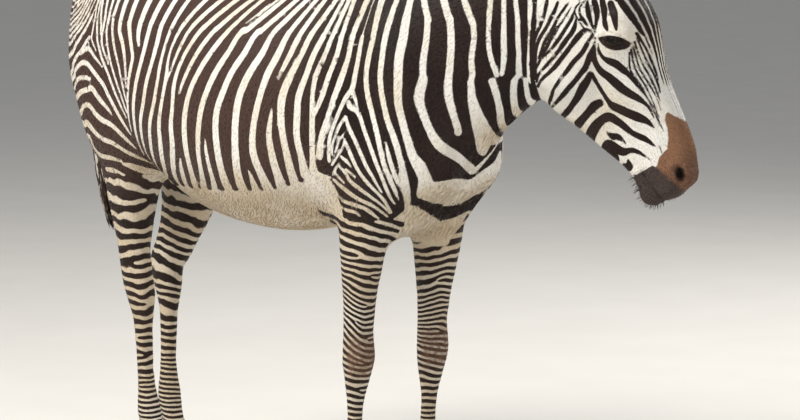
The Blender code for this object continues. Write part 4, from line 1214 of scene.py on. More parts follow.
def coat_colour(recipe, place):
    """The coat's colour from the three attributes, and the dark share."""
    stroke, rings, on_leg = recipe.split(recipe.attribute("strokes"))
    phase, dark_share, lines = recipe.split(recipe.attribute("lines"))
    brown, dusky, cream = recipe.split(recipe.attribute("tint"))
    wander = recipe.noise(place, 55.0, 3.0) - 0.5
    ragged = recipe.noise(place, 90.0, 4.0) - 0.5
    brown = recipe.step(brown + ragged * 5.0, -2.2, 2.2)
    dusky = recipe.step(dusky + ragged * (brown * 9.0 + 3.0), brown * -3.5 - 1.4, brown * 5.0 + 1.4)
    ring_field = (((rings + ring_disorder(recipe, place)) * math.tau).cosine() + RING_DARK) * 3.5
    line_field = ((phase + wander * 0.25) * math.tau).cosine() - (dark_share * math.pi).cosine()
    field = stroke + wander * EDGE_WANDER
    field = field + (ring_field - field) * on_leg
    field = field + (line_field * 2.2 - field) * lines
    dark = recipe.step(field, -EDGE_SOFT, EDGE_SOFT)
    hairs = recipe.noise(place, 420.0, 2.0)
    patches = recipe.noise(place, 7.0, 3.0)
    pale = recipe.blend(recipe.step(patches, 0.40, 0.75), PALE_HAIR_CLEAN, PALE_HAIR)
    pale = recipe.blend(recipe.step(cream * (patches * 0.9 + 0.25), 0.0, 1.0), pale, CREAM_HAIR)
    deep = recipe.blend(recipe.step(hairs + patches * 0.6, 0.6, 1.1), DARK_HAIR, DARK_HAIR_WORN)
    along, across, height = recipe.split(place)
    # Lighter brown dark high on the rear half of the body: partly sun-faded hair, partly a painted highlight
    # on the lit top.
    sunbleach_and_highlight = recipe.step(along - patches * 0.25, SUNBLEACH_AND_HIGHLIGHT_FROM, SUNBLEACH_AND_HIGHLIGHT_FROM - 0.35)
    sunbleach_and_highlight = sunbleach_and_highlight * recipe.step(height, 0.70, 0.95)
    deep = recipe.blend(sunbleach_and_highlight * 0.75, deep, DARK_HAIR_SUNBLEACH_AND_HIGHLIGHT)
    made = recipe.blend(dark, pale, deep)
    nose = recipe.blend(cream, BROWN_HAIR, BROWN_HAIR_TIP)
    nose = recipe.blend(recipe.step(hairs, 0.45, 0.7) * 0.5, nose, PALE_BROWN_HAIR)
    made = recipe.blend(brown, made, nose)
    bare = recipe.blend(recipe.step(hairs, 0.35, 0.7), DUSKY_SKIN, DUSKY_HAIR)
    made = recipe.blend(dusky, made, recipe.blend(dark, bare, DARK_HAIR))
    shade = recipe.blend(recipe.step(hairs, 0.3, 0.75) * 0.16, made, colour(0.02, 0.015, 0.012))
    return shade, dark


coat, coat_recipe, coat_surface = new_finish("coat_stripes")
coat_place = coat_recipe.node("ShaderNodeTexCoord", output="Object")
coat_shade, coat_dark = coat_colour(coat_recipe, coat_place)
coat_grain = coat_recipe.noise(coat_place, 260.0, 3.0)
coat_relief = {"Strength": 0.35, "Distance": 0.0012, "Height": coat_grain}
coat_bump = coat_recipe.node("ShaderNodeBump", sockets=coat_relief)
feed(coat_recipe, coat_surface, Base_Color=coat_shade, Roughness=coat_dark * -0.14 + 0.60, Normal=coat_bump)
coat_surface.inputs["Specular IOR Level"].default_value = 0.10
coat_surface.inputs["Sheen Weight"].default_value = 0.03
coat_surface.inputs["Sheen Roughness"].default_value = 0.4
coat_surface.inputs["Sheen Tint"].default_value = (0.75, 0.62, 0.72, 1)


# %% [markdown]
# A stripe's edge that crosses a triangle has nothing to follow. So the triangles are first cut along every
# edge of the pattern, and the points left over are free to be sparse. Edges that hold a thin stripe between
# two ends of the same colour are halved first.

# %% Cut the skin along the markings
SHORTEST_CUT = 0.0050
SHORTEST_CUT_ON_HEAD = 0.0034


def painted_share(points, normals):
    """The stroke field where strokes are what is seen, in metres, and far off elsewhere."""
    fields = markings(points, normals)
    stroke, _, on_leg = fields["strokes"].T
    lines = fields["lines"][:, 2]
    return np.where((on_leg > 0.5) | (lines > 0.5), 3 * FAR, stroke * MILLI)


def split_edges(mesh, picked, places):
    """Puts a point at a share of the way along each picked edge and joins the new points across the faces."""
    grid = bmesh.new()
    grid.from_mesh(mesh)
    grid.edges.ensure_lookup_table()
    made = []
    for edge, place in zip([grid.edges[index] for index in picked], places):
        made.append(bmesh.utils.edge_split(edge, edge.verts[0], float(place))[1])
    bmesh.ops.connect_verts(grid, verts=made)
    bmesh.ops.triangulate(grid, faces=[face for face in grid.faces if len(face.verts) > 3])
    grid.to_mesh(mesh)
    grid.free()


def cut_along_markings(mesh):
    for crossing in (False, False, True):
        points, normals, edges = points_of(mesh), normals_of(mesh), edges_of(mesh)
        field = painted_share(points, normals)
        first, second = edges.T
        start, end = field[first], field[second]
        span = points[second] - points[first]
        normal = normals[first]
        length = np.linalg.norm(span, axis=1)
        shortest = np.where(head_share(points[first]) > 0.5, SHORTEST_CUT_ON_HEAD, SHORTEST_CUT)
        if not crossing:
            share = np.zeros(len(edges))
            for guess in (0.28, 0.72, 0.5):
                value = painted_share(points[first] + span * guess, normal)
                share = np.where(start * value < 0, guess, share)
            chosen = (start * end > 0) & (share > 0) & (length > shortest)
            split_edges(mesh, np.flatnonzero(chosen), share[chosen])
            continue
        painted = np.maximum(np.abs(start), np.abs(end)) < 2 * FAR
        chosen = np.flatnonzero((start * end < 0) & painted & (length > shortest))
        low, high = np.zeros(len(chosen)), np.ones(len(chosen))
        f_low, f_high = start[chosen], end[chosen]
        for _ in range(4):
            guess = low + (high - low) * np.clip(f_low / (f_low - f_high), 0.1, 0.9)
            value = painted_share(points[first[chosen]] + span[chosen] * guess[:, None], normal[chosen])
            below = value * f_low > 0
            low, f_low = np.where(below, guess, low), np.where(below, value, f_low)
            high, f_high = np.where(below, high, guess), np.where(below, f_high, value)
        place = low + (high - low) * f_low / (f_low - f_high)
        keep = (place > 0.12) & (place < 0.88)
        split_edges(mesh, chosen[keep], place[keep])


cut_along_markings(skin.data)
print("cut skin:", len(skin.data.polygons), "triangles")
write_attributes(skin.data, markings(points_of(skin.data), normals_of(skin.data)))
skin.name = "skin"
skin.data.materials.append(coat)
for polygon in skin.data.polygons:
    polygon.use_smooth = True
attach(skin, "root")
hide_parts(*FLESH)

# %% [markdown]
# ## Eyes
# A zebra's eye is a dark globe with a wide, lying pupil. The white hardly shows and the iris is a deep
# brown. The brow shades the ball, so it is smooth but only a little of the studio shines in it.

# %% Eyes
IRIS_RADIUS = 0.0165
PUPIL = (0.0095, 0.0045)

eye_finish, eye_recipe, eye_surface = new_finish("eye_wet")


def eye_colour(recipe):
    """Brown iris round a lying pupil, by the eye_place attribute, in metres from its middle."""
    along, up = recipe.split(recipe.attribute("eye_place"))[:2]
    from_middle = (along * along + up * up).root()
    wide, high = along / PUPIL[0], up / PUPIL[1]
    pupil = recipe.step(wide * wide + high * high, 1.2, 0.8)
    rim = recipe.step(from_middle, IRIS_RADIUS - 0.002, IRIS_RADIUS)
    fibres = recipe.noise(recipe.attribute("eye_place"), 900.0, 2.0)
    iris = recipe.blend(fibres, colour(0.008, 0.004, 0.002), colour(0.026, 0.011, 0.006))
    made = recipe.blend(pupil, iris, colour(0.003, 0.003, 0.004))
    return recipe.blend(rim, made, colour(0.012, 0.007, 0.006))


feed(eye_recipe, eye_surface, Base_Color=eye_colour(eye_recipe))
eye_surface.inputs["Roughness"].default_value = 0.10
eye_surface.inputs["Specular IOR Level"].default_value = 0.14
eye_surface.inputs["Coat Weight"].default_value = 0.06
eye_surface.inputs["Coat Roughness"].default_value = 0.02

for side_name, side in (("left", 1), ("right", -1)):
    ball = bmesh.new()
    bmesh.ops.create_uvsphere(ball, u_segments=64, v_segments=40, radius=EYE_RADIUS)
    bmesh.ops.translate(ball, vec=EYES[side_name], verts=ball.verts)
    mesh = bpy.data.meshes.new(f"eyeball_{side_name}")
    ball.to_mesh(mesh)
    ball.free()
    for polygon in mesh.polygons:
        polygon.use_smooth = True
    layer = mesh.attributes.new("eye_place", "FLOAT_VECTOR", "POINT")
    places = np.column_stack(on_eye(points_of(mesh), side))
    layer.data.foreach_set("vector", places.astype(np.float32).ravel())
    eyeball = new_piece(f"eyeball_{side_name}", mesh, eye_finish)
    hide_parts(f"eye_{side_name}")

# %% [markdown]
# ## Hooves
# Horn is dark, smooth and faintly ringed as it grows down from the coronet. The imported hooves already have
# the right shape, so welded copies of them are rounded a little and only given the finish of horn.

# %% Hooves
horn, horn_recipe, horn_surface = new_finish("hoof_horn")
horn_place = horn_recipe.node("ShaderNodeTexCoord", output="Object")
horn_height = horn_recipe.split(horn_place)[2]
horn_rings = ((horn_height * 900.0 + horn_recipe.noise(horn_place, 18.0) * 5.0).cosine() + 1.0) * 0.5
horn_drawn = horn_recipe.node("ShaderNodeMapping", sockets={0: horn_place, "Scale": (1.0, 1.0, 0.12)})
horn_streaks = horn_recipe.noise(horn_drawn, 240.0, 2.0)
horn_dust = horn_recipe.step(horn_height + horn_recipe.noise(horn_place, 30.0) * 0.02, 0.035, 0.008)
horn_base = horn_recipe.blend(horn_streaks, colour(0.022, 0.018, 0.016), colour(0.075, 0.058, 0.046))
horn_base = horn_recipe.blend(horn_dust * 0.6, horn_base, colour(0.22, 0.18, 0.13))
horn_height = horn_rings + horn_streaks * 0.5
horn_relief = {"Strength": 0.4, "Distance": 0.0006, "Height": horn_height}
horn_bump = horn_recipe.node("ShaderNodeBump", sockets=horn_relief)
feed(horn_recipe, horn_surface, Base_Color=horn_base, Normal=horn_bump, Roughness=horn_dust * 0.3 + 0.45)


def rounded_copy(node, levels, name):
    """A welded, subdivided copy of a solid, smooth shaded."""
    scratch = bpy.data.objects.new(name, merged_copy(node))
    bpy.context.scene.collection.objects.link(scratch)
    smooth = scratch.modifiers.new("Round", "SUBSURF")
    smooth.levels = smooth.render_levels = levels
    mesh = settled(scratch)
    bpy.data.objects.remove(scratch)
    mesh.name = name
    for polygon in mesh.polygons:
        polygon.use_smooth = True
    return mesh


def lowest_kept(mesh, node):
    """Moves a rounded copy's sole back down to where the solid's is, since rounding draws it in."""
    low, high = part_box(node)
    points = points_of(mesh)
    bottom, top = points[:, 2].min(), points[:, 2].max()
    points[:, 2] = low.z + (points[:, 2] - bottom) * (top - low.z) / (top - bottom)
    put_points(mesh, points)


for leg in ("fore_left", "fore_right", "hind_left", "hind_right"):
    mesh = rounded_copy(f"hoof_{leg}", 1, f"horn_{leg}")
    lowest_kept(mesh, f"hoof_{leg}")
    hoof = new_piece(f"horn_{leg}", mesh, horn)
    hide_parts(f"hoof_{leg}")

# %% [markdown]
# ## Ears
# The ears are tall, round-tipped cups, pale and hairy inside, with a dark rim. Their backs are white at the
# root and tip with a broad dark band between. Rounded copies of the solids give the cups, and each point's
# place in the cup picks its colour, through the same attributes as the skin.

# %% Ears
EAR_RIM = 0.0065


def ear_frame(side):
    """The direction up one ear and the way its cup faces, on the model's own axes."""
    along = (UP + HEAD_W * side * 0.30 - HEAD_V * 0.12).normalized()
    facing = HEAD_V + HEAD_W * side * 0.55 - HEAD_U * 0.25
    return along, (facing - along * facing.dot(along)).normalized()


def hair_attributes(mesh, lie, long, wide, thick):
    """What the growing of hair reads: its direction, length, width and share of the full density."""
    write_attributes(mesh, {"lie": lie})
    for name, values in (("long", long), ("wide", wide), ("thick", thick)):
        layer = mesh.attributes.get(name) or mesh.attributes.new(name, "FLOAT", "POINT")
        layer.data.foreach_set("value", np.broadcast_to(values, len(mesh.vertices)).astype(np.float32))


def unwrapped(piece):
    """Gives a piece its bake unwrap, made from its own shape."""
    piece.data.uv_layers.new(name="OFBake")
    bpy.context.view_layer.objects.active = piece
    for other in bpy.context.selected_objects:
        other.select_set(False)
    piece.select_set(True)
    bpy.ops.object.mode_set(mode="EDIT")
    bpy.ops.mesh.select_all(action="SELECT")
    bpy.ops.uv.smart_project(angle_limit=1.15, island_margin=0.004)
    bpy.ops.object.mode_set(mode="OBJECT")


ears = {}
for side_name, side in (("left", 1), ("right", -1)):
    mesh = rounded_copy(f"ear_{side_name}", 2, f"soft_ear_{side_name}")
    points, normals = points_of(mesh), normals_of(mesh)
    along, facing = ear_frame(side)
    root = np.array(from_head(0.028, 0.036, side * 0.054))
    height = (points - root) @ np.array(along)
    share = height / height.max()
    inward = normals @ np.array(facing)
    across = (points - root) @ np.array(along.cross(facing))
    levels = np.linspace(0, 1, 11)
    half = np.interp(share, levels, [np.abs(across[np.abs(share - at) < 0.06]).max() for at in levels])
    from_rim = np.minimum(half - np.abs(across), (1 - share) * height.max())
    back = np.where(share < 0.30, -0.004, np.minimum(share - 0.30, 0.80 - share) * height.max())
    back = np.minimum(back, from_rim - 0.003)
    inside = EAR_RIM - from_rim
    field = back + (inside - back) * ramp(inward, -0.1, 0.25)
    nothing = np.zeros(len(points))
    write_attributes(mesh, {
        "strokes": np.column_stack([np.clip(field, -0.02, 0.02) / MILLI, nothing, nothing]),
        "lines": np.column_stack([nothing, nothing, nothing]),
        "tint": np.column_stack([nothing - 20, nothing - 20, 0.6 * ramp(inward, 0.0, 0.4)]),
    })
    flat = np.array(along) - normals * (normals @ np.array(along))[:, None]
    lie = flat / np.linalg.norm(flat, axis=1)[:, None] + 0.25 * normals + 0.15 * np.array(facing)
    hollow = ramp(inward, 0.1, 0.4) * ramp(share, 0.95, 0.6)
    hair_attributes(mesh, lie, 0.010 + 0.020 * hollow, 0.0018, 0.35 + 0.65 * hollow)
    ears[side] = new_piece(f"soft_ear_{side_name}", mesh, coat)
    unwrapped(ears[side])
    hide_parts(f"ear_{side_name}")

# %% [markdown]
# ## Growing hair
# All hair is grown the same way. A surface says at each place which way hair lies, how long and wide it is
# and how thick it stands. Geometry Nodes scatters points, turns a small curved blade to each and makes the
# copies real. A blade keeps its root's colours and its root's place on the unwrap, so it is painted like the
# skin under it. Hair particles would not survive an export, and blades do.

# %% The blade and the growing tree
PATCH = 0.003
BLADE_THICK = 0.11
GROWING_INPUTS = {
    "Geometry": "Geometry", "Per Square Metre": "Float", "Seed": "Int",
    "Spread": "Float", "Blade": "Object", "Finish": "Material",
}


def make_blade(name, rows, bow, wave=0.0):
    """A unit blade along Z, with a flat three-sided section, bowed towards +Y."""
    mesh = bpy.data.meshes.new(name)
    points, faces = [], []
    for row in range(rows):
        t = row / rows
        half = 0.5 * (1 - t ** 2.2) * (0.75 + 0.5 * t * (1 - t) * 2)
        lift = bow * 4 * t * (1 - t) + wave * math.sin(t * 9)
        points += [(-half, lift, t), (half, lift, t), (0, lift + half * BLADE_THICK * 2, t)]
    points.append((0, wave * math.sin(9), 1))
    for row in range(rows - 1):
        a = row * 3
        for i in range(3):
            j = (i + 1) % 3
            faces.append((a + i, a + j, a + 3 + j, a + 3 + i))
    last = (rows - 1) * 3
    faces += [(last + i, last + (i + 1) % 3, last + 3) for i in range(3)]
    mesh.from_pydata(points, [], faces)
    leaf = mesh.attributes.new("leaf", "FLOAT_VECTOR", "POINT")
    leaf.data.foreach_set("vector", np.array([(x + 0.5, z, z) for x, y, z in points], np.float32).ravel())
    for polygon in mesh.polygons:
        polygon.use_smooth = True
    return bpy.data.objects.new(name, mesh)


def growing_tree():
    """The Geometry Nodes group that turns a surface with hair attributes into blades."""
    tree = bpy.data.node_groups.new("grow_hair", "GeometryNodeTree")
    for name, kind in GROWING_INPUTS.items():
        tree.interface.new_socket(name, in_out="INPUT", socket_type=f"NodeSocket{kind}")
    tree.interface.new_socket("Geometry", in_out="OUTPUT", socket_type="NodeSocketGeometry")
    recipe = Recipe(tree)
    given = tree.nodes.new("NodeGroupInput")
    wanted = {name: Wire(given.outputs[name]) for name in GROWING_INPUTS}

    def named(name, kind="FLOAT"):
        return recipe.node("GeometryNodeInputNamedAttribute", {"data_type": kind}, {"Name": name})

    def uneven(low, high, step):
        sockets = {2: low, 3: high, "Seed": wanted["Seed"] + step}
        return recipe.node("FunctionNodeRandomValue", {"data_type": "FLOAT"}, sockets, 1)

    def stored(geometry, name, value, kind="FLOAT_VECTOR", domain="POINT"):
        sockets = {"Geometry": geometry, "Name": name, "Value": value}
        return recipe.node("GeometryNodeStoreNamedAttribute", {"data_type": kind, "domain": domain}, sockets)

    def aligned(axis, vector, **settings_and_rotation):
        sockets = {"Vector": vector, **settings_and_rotation}
        pivot = {"pivot_axis": "Z"} if "Rotation" in sockets else {}
        return recipe.node("FunctionNodeAlignRotationToVector", {"axis": axis, **pivot}, sockets)

    density = wanted["Per Square Metre"] * named("thick")
    scattered = recipe.node("GeometryNodeDistributePointsOnFaces", {}, {
        "Mesh": wanted["Geometry"], "Density": density, "Seed": wanted["Seed"]})
    normal = Wire(scattered.socket.node.outputs["Normal"])
    kept = stored(scattered, "root_place", named("OFBake", "FLOAT_VECTOR"))
    kept = recipe.node("GeometryNodeRemoveAttribute", {}, {"Geometry": kept, "Name": "OFBake"})
    facing = stored(kept, "skin_normal", normal)
    turned = aligned("Z", named("lie", "FLOAT_VECTOR"))
    turned = aligned("Y", named("skin_normal", "FLOAT_VECTOR"), Rotation=turned)
    leans = ((0, 0.35, 1), (1, 1.0, 2), (2, 0.6, 3))
    tilt = recipe.node("ShaderNodeCombineXYZ", sockets={
        axis: uneven(-most, most, step) * wanted["Spread"] for axis, most, step in leans})
    turned = recipe.node("FunctionNodeRotateRotation", {"rotation_space": "LOCAL"}, {0: turned, 1: tilt})
    size = uneven(0.70, 1.20, 4)
    scale = recipe.node("ShaderNodeCombineXYZ", sockets={
        0: named("wide") * uneven(0.7, 1.3, 5), 1: named("long") * size, 2: named("long") * size})
    info = {"transform_space": "ORIGINAL"}
    blade = recipe.node("GeometryNodeObjectInfo", info, {"Object": wanted["Blade"]}, "Geometry")
    copies = recipe.node("GeometryNodeInstanceOnPoints", {}, {
        "Points": facing, "Instance": blade, "Rotation": turned, "Scale": scale})
    real = recipe.node("GeometryNodeRealizeInstances", {}, {"Geometry": copies})
    place = recipe.node("ShaderNodeVectorMath", {"operation": "MULTIPLY_ADD"}, {
        0: named("leaf", "FLOAT_VECTOR"), 1: (PATCH, PATCH, 0), 2: named("root_place", "FLOAT_VECTOR")})
    real = stored(real, "OFBake", place, "FLOAT2", "CORNER")
    for spare in ("root_place", "skin_normal", "lie", "long", "wide", "thick"):
        real = recipe.node("GeometryNodeRemoveAttribute", {}, {"Geometry": real, "Name": spare})
    real = recipe.node("GeometryNodeSetMaterial", {}, {"Geometry": real, "Material": wanted["Finish"]})
    leaving = tree.nodes.new("NodeGroupOutput")
    tree.links.new(real.socket, leaving.inputs["Geometry"])
    return tree


GROWING = growing_tree()


def grow(name, surface, per_square_metre, seed, spread, blade, finish, slot):
    """Grows hair on a mesh that has hair attributes and an unwrap, as a new piece."""
    piece = bpy.data.objects.new(name, surface.copy())
    bpy.context.scene.collection.objects.link(piece)
    modifier = piece.modifiers.new("Grow", "NODES")
    modifier.node_group = GROWING
    values = {"Per Square Metre": per_square_metre, "Seed": seed, "Spread": spread}
    values.update({"Blade": blade, "Finish": finish})
    for socket in GROWING.interface.items_tree:
        if socket.in_out == "INPUT" and socket.name in values:
            modifier[socket.identifier] = values[socket.name]
    mesh = settled(piece)
    mesh.name = name
    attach(piece, "root")
    print(name, "has", len(mesh.polygons), "faces")
    return piece


EAR_BLADE = make_blade("ear_blade", 3, 0.10)
for side_name, side in (("left", 1), ("right", -1)):
    grow(f"ear_hair_{side_name}", ears[side].data, 36000.0, 5 + side, 0.5, EAR_BLADE, coat, "ears")

# %% [markdown]
# ## Mane
# The mane stands up like a brush from between the ears to the withers and carries the neck's stripes on to
# its brown tips. A narrowed copy of its solid is the mass of hair that can't be seen through. Its foot is
# sunk into the neck, so that no gap shows. Stiff blades stand on its sides as well as its crown.

# %% Mane
CREST_ON_HEAD = [(0.095, 0.066), (0.050, 0.036), (-0.020, -0.020)]
CREST_ON_NECK = [
    (0.720, 0.095, 1.428), (0.600, 0.053, 1.432), (0.470, 0.018, 1.438),
    (0.330, 0.0, 1.438), (0.240, 0.0, 1.430), (0.130, 0.0, 1.395),
]
CREST_PLACES = [tuple(on_body(np.array([from_head(u, v, 0.0)]))[0]) for u, v in CREST_ON_HEAD]
CREST = np.array(CREST_PLACES + CREST_ON_NECK)[::-1]
CREST_RISE = np.gradient(CREST, axis=0)[:, [2, 1, 0]] * (-1, 0, 1)
CREST_RISE = CREST_RISE / np.linalg.norm(CREST_RISE, axis=1)[:, None] + (0, 0, 0.4)
CREST_RISE /= np.linalg.norm(CREST_RISE, axis=1)[:, None]
MANE_TOP = [0.045, 0.089, 0.127, 0.127, 0.127, 0.127, 0.123, 0.085, 0.042]
MANE_BLADES = 36000.0
MANE_BLADE_WIDTH = 0.0034


def along_crest(points):
    """Each point's root on the crest, the way hair stands there, and its share of the mane's height."""
    body = on_body(points)
    roots, lean = body.copy(), np.zeros_like(body)
    place = body[:, 0].copy()
    for _ in range(4):
        lean = np.column_stack([np.interp(place, CREST[:, 0], CREST_RISE[:, i]) for i in range(3)])
        roots = np.column_stack([np.interp(place, CREST[:, 0], CREST[:, i]) for i in range(3)])
        height = ((body - roots) * lean).sum(axis=1)
        place = body[:, 0] - height * lean[:, 0]
    return roots, lean, height / np.interp(place, CREST[:, 0], MANE_TOP)


mesh = rounded_copy("mane", 3, "mane_mass")
points, normals = points_of(mesh), normals_of(mesh)
roots, lean, share = along_crest(points)
top_sinks = ramp(share, 0.5, 1.0)
foot_sinks = ramp(share, 0.50, 0.20)
end_sinks = ramp(roots[:, 0], 0.22, 0.13)
sunk = 0.016 * top_sinks + 0.075 * foot_sinks + 0.028 * end_sinks
points = points - normals * 0.004 - lean * sunk[:, None]
put_points(mesh, points)
fields = markings(points, normals)
fields["tint"][:, 0] = (share - 0.90) * 60
fields["tint"][:, 1] = -20
write_attributes(mesh, fields)
outward = 0.16 + 0.10 * ramp(share, 0.9, 0.4)
mane_long = 0.042 * ramp(share, 1.3, 0.2) + 0.020
mane_thick = ramp(share, -0.05, 0.1)
hair_attributes(mesh, lean + normals * outward[:, None], mane_long, MANE_BLADE_WIDTH, mane_thick)
mane_mass = new_piece("mane_mass", mesh, coat)
unwrapped(mane_mass)
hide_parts("mane")
STIFF_BLADE = make_blade("stiff_blade", 3, 0.05)
for seed, side_name in enumerate(("left", "right")):
    side = 1 - 2 * seed
    half = mane_mass.data.copy()
    aside = (points - np.array([BODY_SHIFT.x, BODY_SHIFT.y, 0]) - roots)[:, 1] * side
    thick = np.where(aside > 0, mane_thick, 0)
    half.attributes["thick"].data.foreach_set("value", thick.astype(np.float32))
    grow(f"mane_hair_{side_name}", half, MANE_BLADES, 21 + seed, 0.16, STIFF_BLADE, coat, "mane_hair")

# %% [markdown]
# ## Tail
# The dock is covered in short hair, with small bars at its sides and a dark line down its back. The tuft
# hangs from its lower half: long dark strands with pale and brown ones among them.

# %% Tail
TAIL_LINE = (
    [0.68, 0.72, 0.79, 0.87, 0.95, 1.02, 1.14, 1.235, 1.31, 1.345],
    [-0.776, -0.782, -0.796, -0.815, -0.832, -0.842, -0.850, -0.832, -0.785, -0.730],
)
TUFT_BLADES = 42000.0
DOCK_BLADES = 60000.0


def tail_fields(points, normals, tuft):
    """The dock's bars, or the tuft's mixed strands, as the coat's attributes."""
    x, y, z = on_body(points).T
    chance = np.random.default_rng(3).random(len(points))
    back = np.interp(z, *TAIL_LINE) - x
    if tuft:
        dark = 0.006 * (0.68 - chance + 0.25 * ramp(z, 0.95, 0.75))
        brown = (chance - 0.93) * 150
    else:
        bars = 0.005 * np.cos(z * math.tau / 0.040) - 0.0015
        dark = np.maximum(np.minimum(bars, 0.024 - np.abs(y)), 0.0075 - np.abs(y) - 0.02 * (back < 0))
        brown = np.full(len(points), -20.0)
    nothing = np.zeros(len(points))
    return {
        "strokes": np.column_stack([dark / MILLI, nothing, nothing]),
        "lines": np.column_stack([nothing, nothing, nothing]),
        "tint": np.column_stack([brown, nothing - 20, nothing + 0.4]),
    }


def hanging(points, normals, outward):
    """The way tail hair hangs: down along the tail's own line, a little outward."""
    z = on_body(points)[:, 2]
    slope = (np.interp(z + 0.02, *TAIL_LINE) - np.interp(z - 0.02, *TAIL_LINE)) / 0.04
    down = np.column_stack([-slope, np.zeros(len(z)), -np.ones(len(z))])
    return down / np.linalg.norm(down, axis=1)[:, None] + normals * outward


STRAND_BLADE = make_blade("strand_blade", 5, 0.04, 0.012)
for node, tuft in (("tail_dock", False), ("tail_tuft", True)):
    mesh = rounded_copy(node, 2 if tuft else 3, f"{node}_mass")
    points, normals = points_of(mesh), normals_of(mesh)
    points = points - normals * (0.014 if tuft else 0.003)
    if not tuft:
        points[:, 2] -= 0.030 * ramp(points[:, 2], 1.05, 1.02)
    put_points(mesh, points)
    write_attributes(mesh, tail_fields(points, normals, tuft))
    z = points[:, 2]
    if tuft:
        hair_attributes(mesh, hanging(points, normals, 0.02), np.clip(z - 0.672, 0.018, 0.11), 0.0036, 1.0)
    else:
        loose = ramp(z, 1.20, 1.06)
        lie = hanging(points, normals, 0.07)
        hair_attributes(mesh, lie, 0.010 + 0.055 * loose, 0.0020 + 0.0010 * loose, 0.45 + 0.3 * loose)
    slot = "tail_hair" if tuft else "coat"
    mass = new_piece(f"{node}_mass", mesh, coat)
    unwrapped(mass)
    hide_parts(node)
    strands = mass.data.copy()
    if tuft:
        all_dark, untinted = ([8.0, 0.0, 0.0], [-20.0, -20.0, 0.0])
        write_attributes(mass.data, {"strokes": np.tile(all_dark, (len(points), 1))})
        write_attributes(mass.data, {"tint": np.tile(untinted, (len(points), 1))})
    closeness, blade = (TUFT_BLADES, STRAND_BLADE) if tuft else (DOCK_BLADES, EAR_BLADE)
    grow(f"{node}_hair", strands, closeness, 31 + tuft, 0.10, blade, coat, slot)

# %% [markdown]
# ## Short coat
# Nearly all of the hair is under a centimetre long and lies flat: down and back on the barrel, back and down
# on the neck, towards the nose on the face, and down on the legs. The scattered tufts are small. They break
# the outline and the edges of the stripes. Each takes the colour of the place that its middle covers, not
# its root's, so that the stripes keep their places.

# %% Tufts on the skin
TUFT_LIFT = 0.022


def coat_lie(points, normals):
    """The direction of the hair on the skin, along the surface and a little off it."""
    body = on_body(points)
    x, y, z = body.T
    of_head, of_leg = head_share(points), leg_share(points)
    way = np.tile([-0.45, 0.0, -1.0], (len(points), 1))
    neck = ramp(x, 0.45, 0.65) * ramp(z, 0.95, 1.15)
    way += (np.array([-1.0, 0.0, -0.9]) - way) * neck[:, None]
    croup = ramp(z, 1.22, 1.32) * ramp(x, 0.4, 0.2)
    way += (np.array([-1.0, 0.0, -0.3]) - way) * croup[:, None]
    way += (np.array([-0.05, 0.0, -1.0]) - way) * of_leg[:, None]
    way += (np.array(HEAD_U) - way) * of_head[:, None]
    way -= normals * (way * normals).sum(axis=1)[:, None]
    way /= np.maximum(np.linalg.norm(way, axis=1), 1e-6)[:, None]
    return way + normals * TUFT_LIFT


def coat_length(points, normals):
    """Metres of hair: short on the face and the legs, longer under the belly and behind the fetlocks."""
    z = on_body(points)[:, 2]
    long = 0.0068 - 0.0020 * leg_share(points) + (0.0042 - 0.0068) * head_share(points)
    long = long + 0.007 * ramp(normals[:, 2], -0.3, -0.9) * (1 - head_share(points)) * ramp(z, 0.6, 0.7)
    fetlock = ramp(np.abs(z - 0.17), 0.05, 0.02) * ramp(normals[:, 0], -0.3, -0.8)
    return long + 0.010 * fetlock


unwrapped(skin)
print("unwrapped the skin")
points, normals = points_of(skin.data), normals_of(skin.data)
lie, length = coat_lie(points, normals), coat_length(points, normals)
body, head = on_body(points), on_head(points)
in_head, in_leg = head_share(points), leg_share(points) * (body[:, 2] < 0.80)
bare = 1 - 0.85 * ramp(np.minimum(body[:, 2], 0.2), 0.085, 0.07)
for side in (1, -1):
    a, b, out = on_eye(points, side)
    bare = np.where((beyond_almond(a, b) < 0.006) & (out > -0.006), 0, bare)
open_nostril = nostril(head) > -0.002
bare = np.where((in_head > 0.5) & (open_nostril | (head[:, 0] > 0.60)), 0, bare)
on_trunk = (in_head <= 0.5) & (in_leg <= 0.5)
# each region and its tufts in ten thousands for a square metre
regions = {
    "coat_head": (in_head > 0.5, 5.7),
    "coat_neck": (on_trunk & (body[:, 0] > 0.30), 2.6),
    "coat_barrel": (on_trunk & (body[:, 0] <= 0.30) & (body[:, 0] > -0.25), 1.9),
    "coat_croup": (on_trunk & (body[:, 0] <= -0.25), 1.8),
    "coat_legs": (in_leg > 0.5, 3.0),
}
SHORT_BLADE = make_blade("short_blade", 2, 0.06)
grown_from = skin.data.copy()
tuft_middles = points + (lie - normals * TUFT_LIFT) * (length * 0.5)[:, None]
write_attributes(grown_from, markings(tuft_middles, normals))
for seed, (name, (region, closeness)) in enumerate(regions.items()):
    hair_attributes(grown_from, lie, length, 0.0009 + length * 0.09, region * bare)
    grow(name, grown_from, closeness * 10000.0, 41 + seed, 0.12, SHORT_BLADE, coat, "coat")

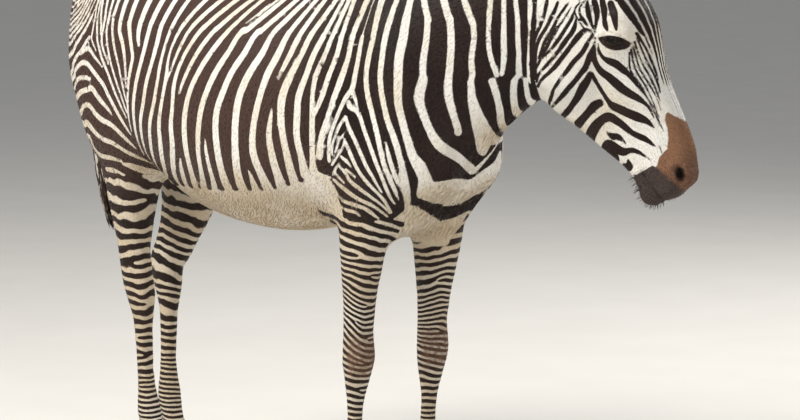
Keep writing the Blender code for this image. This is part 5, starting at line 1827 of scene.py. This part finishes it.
# %% [markdown]
# ## Lashes and whiskers
# Long lashes droop over each eye from the upper lid, and stiff whiskers stand on the lips and the chin.

# %% Lashes and whiskers
bristle, _, bristle_surface = new_finish("bristle_dark")
bristle_surface.inputs["Base Color"].default_value = (0.030, 0.024, 0.020, 1)
bristle_surface.inputs["Roughness"].default_value = 0.45
LASHES_HALF, LASH_LENGTH, LASH_WIDTH, LASHES = 0.021, 0.017, 0.0011, 400000.0
WHISKER_WIDTH, WHISKERS = 0.0005, 7000.0
LASH_BLADE = make_blade("lash_blade", 3, -0.12)
lash_share, lash_lie = np.zeros(len(points)), np.zeros((len(points), 3))
for side in (1, -1):
    a, b, out = on_eye(points, side)
    lid = (np.abs(beyond_almond(a, b) - 0.0008) < 0.0022) & (b > 0.001) & (np.abs(a) < LASHES_HALF)
    lid = lid & (out > -0.004) & (in_head > 0.5)
    lash_share = np.where(lid, 1, lash_share)
    fan = np.clip(a / LASHES_HALF, -1, 1)[:, None] * np.array(HEAD_U) * 0.35
    droop = np.array(HEAD_W) * side * 0.95 + fan - np.array(HEAD_V) * 0.10 + np.array(HEAD_U) * 0.35
    lash_lie = np.where(lid[:, None], droop, lash_lie)
hair_attributes(grown_from, lash_lie, LASH_LENGTH, LASH_WIDTH, lash_share)
grow("lashes", grown_from, LASHES, 61, 0.25, LASH_BLADE, bristle, "eyes")
u, v, w = head.T
muzzle = (in_head > 0.5) & (u > 0.505) & (v < np.interp(u, *LIPS_TOP) + 0.006) & ~open_nostril
whisker_lie = normals + np.array(HEAD_U) * 0.15 - np.array(HEAD_V) * 0.35
whisker_long = 0.006 + 0.010 * ramp(v, -0.085, -0.125)
whisker_thick = muzzle * (0.45 + 0.55 * ramp(v, -0.085, -0.115))
hair_attributes(grown_from, whisker_lie, whisker_long, WHISKER_WIDTH, whisker_thick)
WHISKER_BLADE = make_blade("whisker_blade", 4, 0.10)
grow("whiskers", grown_from, WHISKERS, 62, 0.45, WHISKER_BLADE, bristle, "coat")
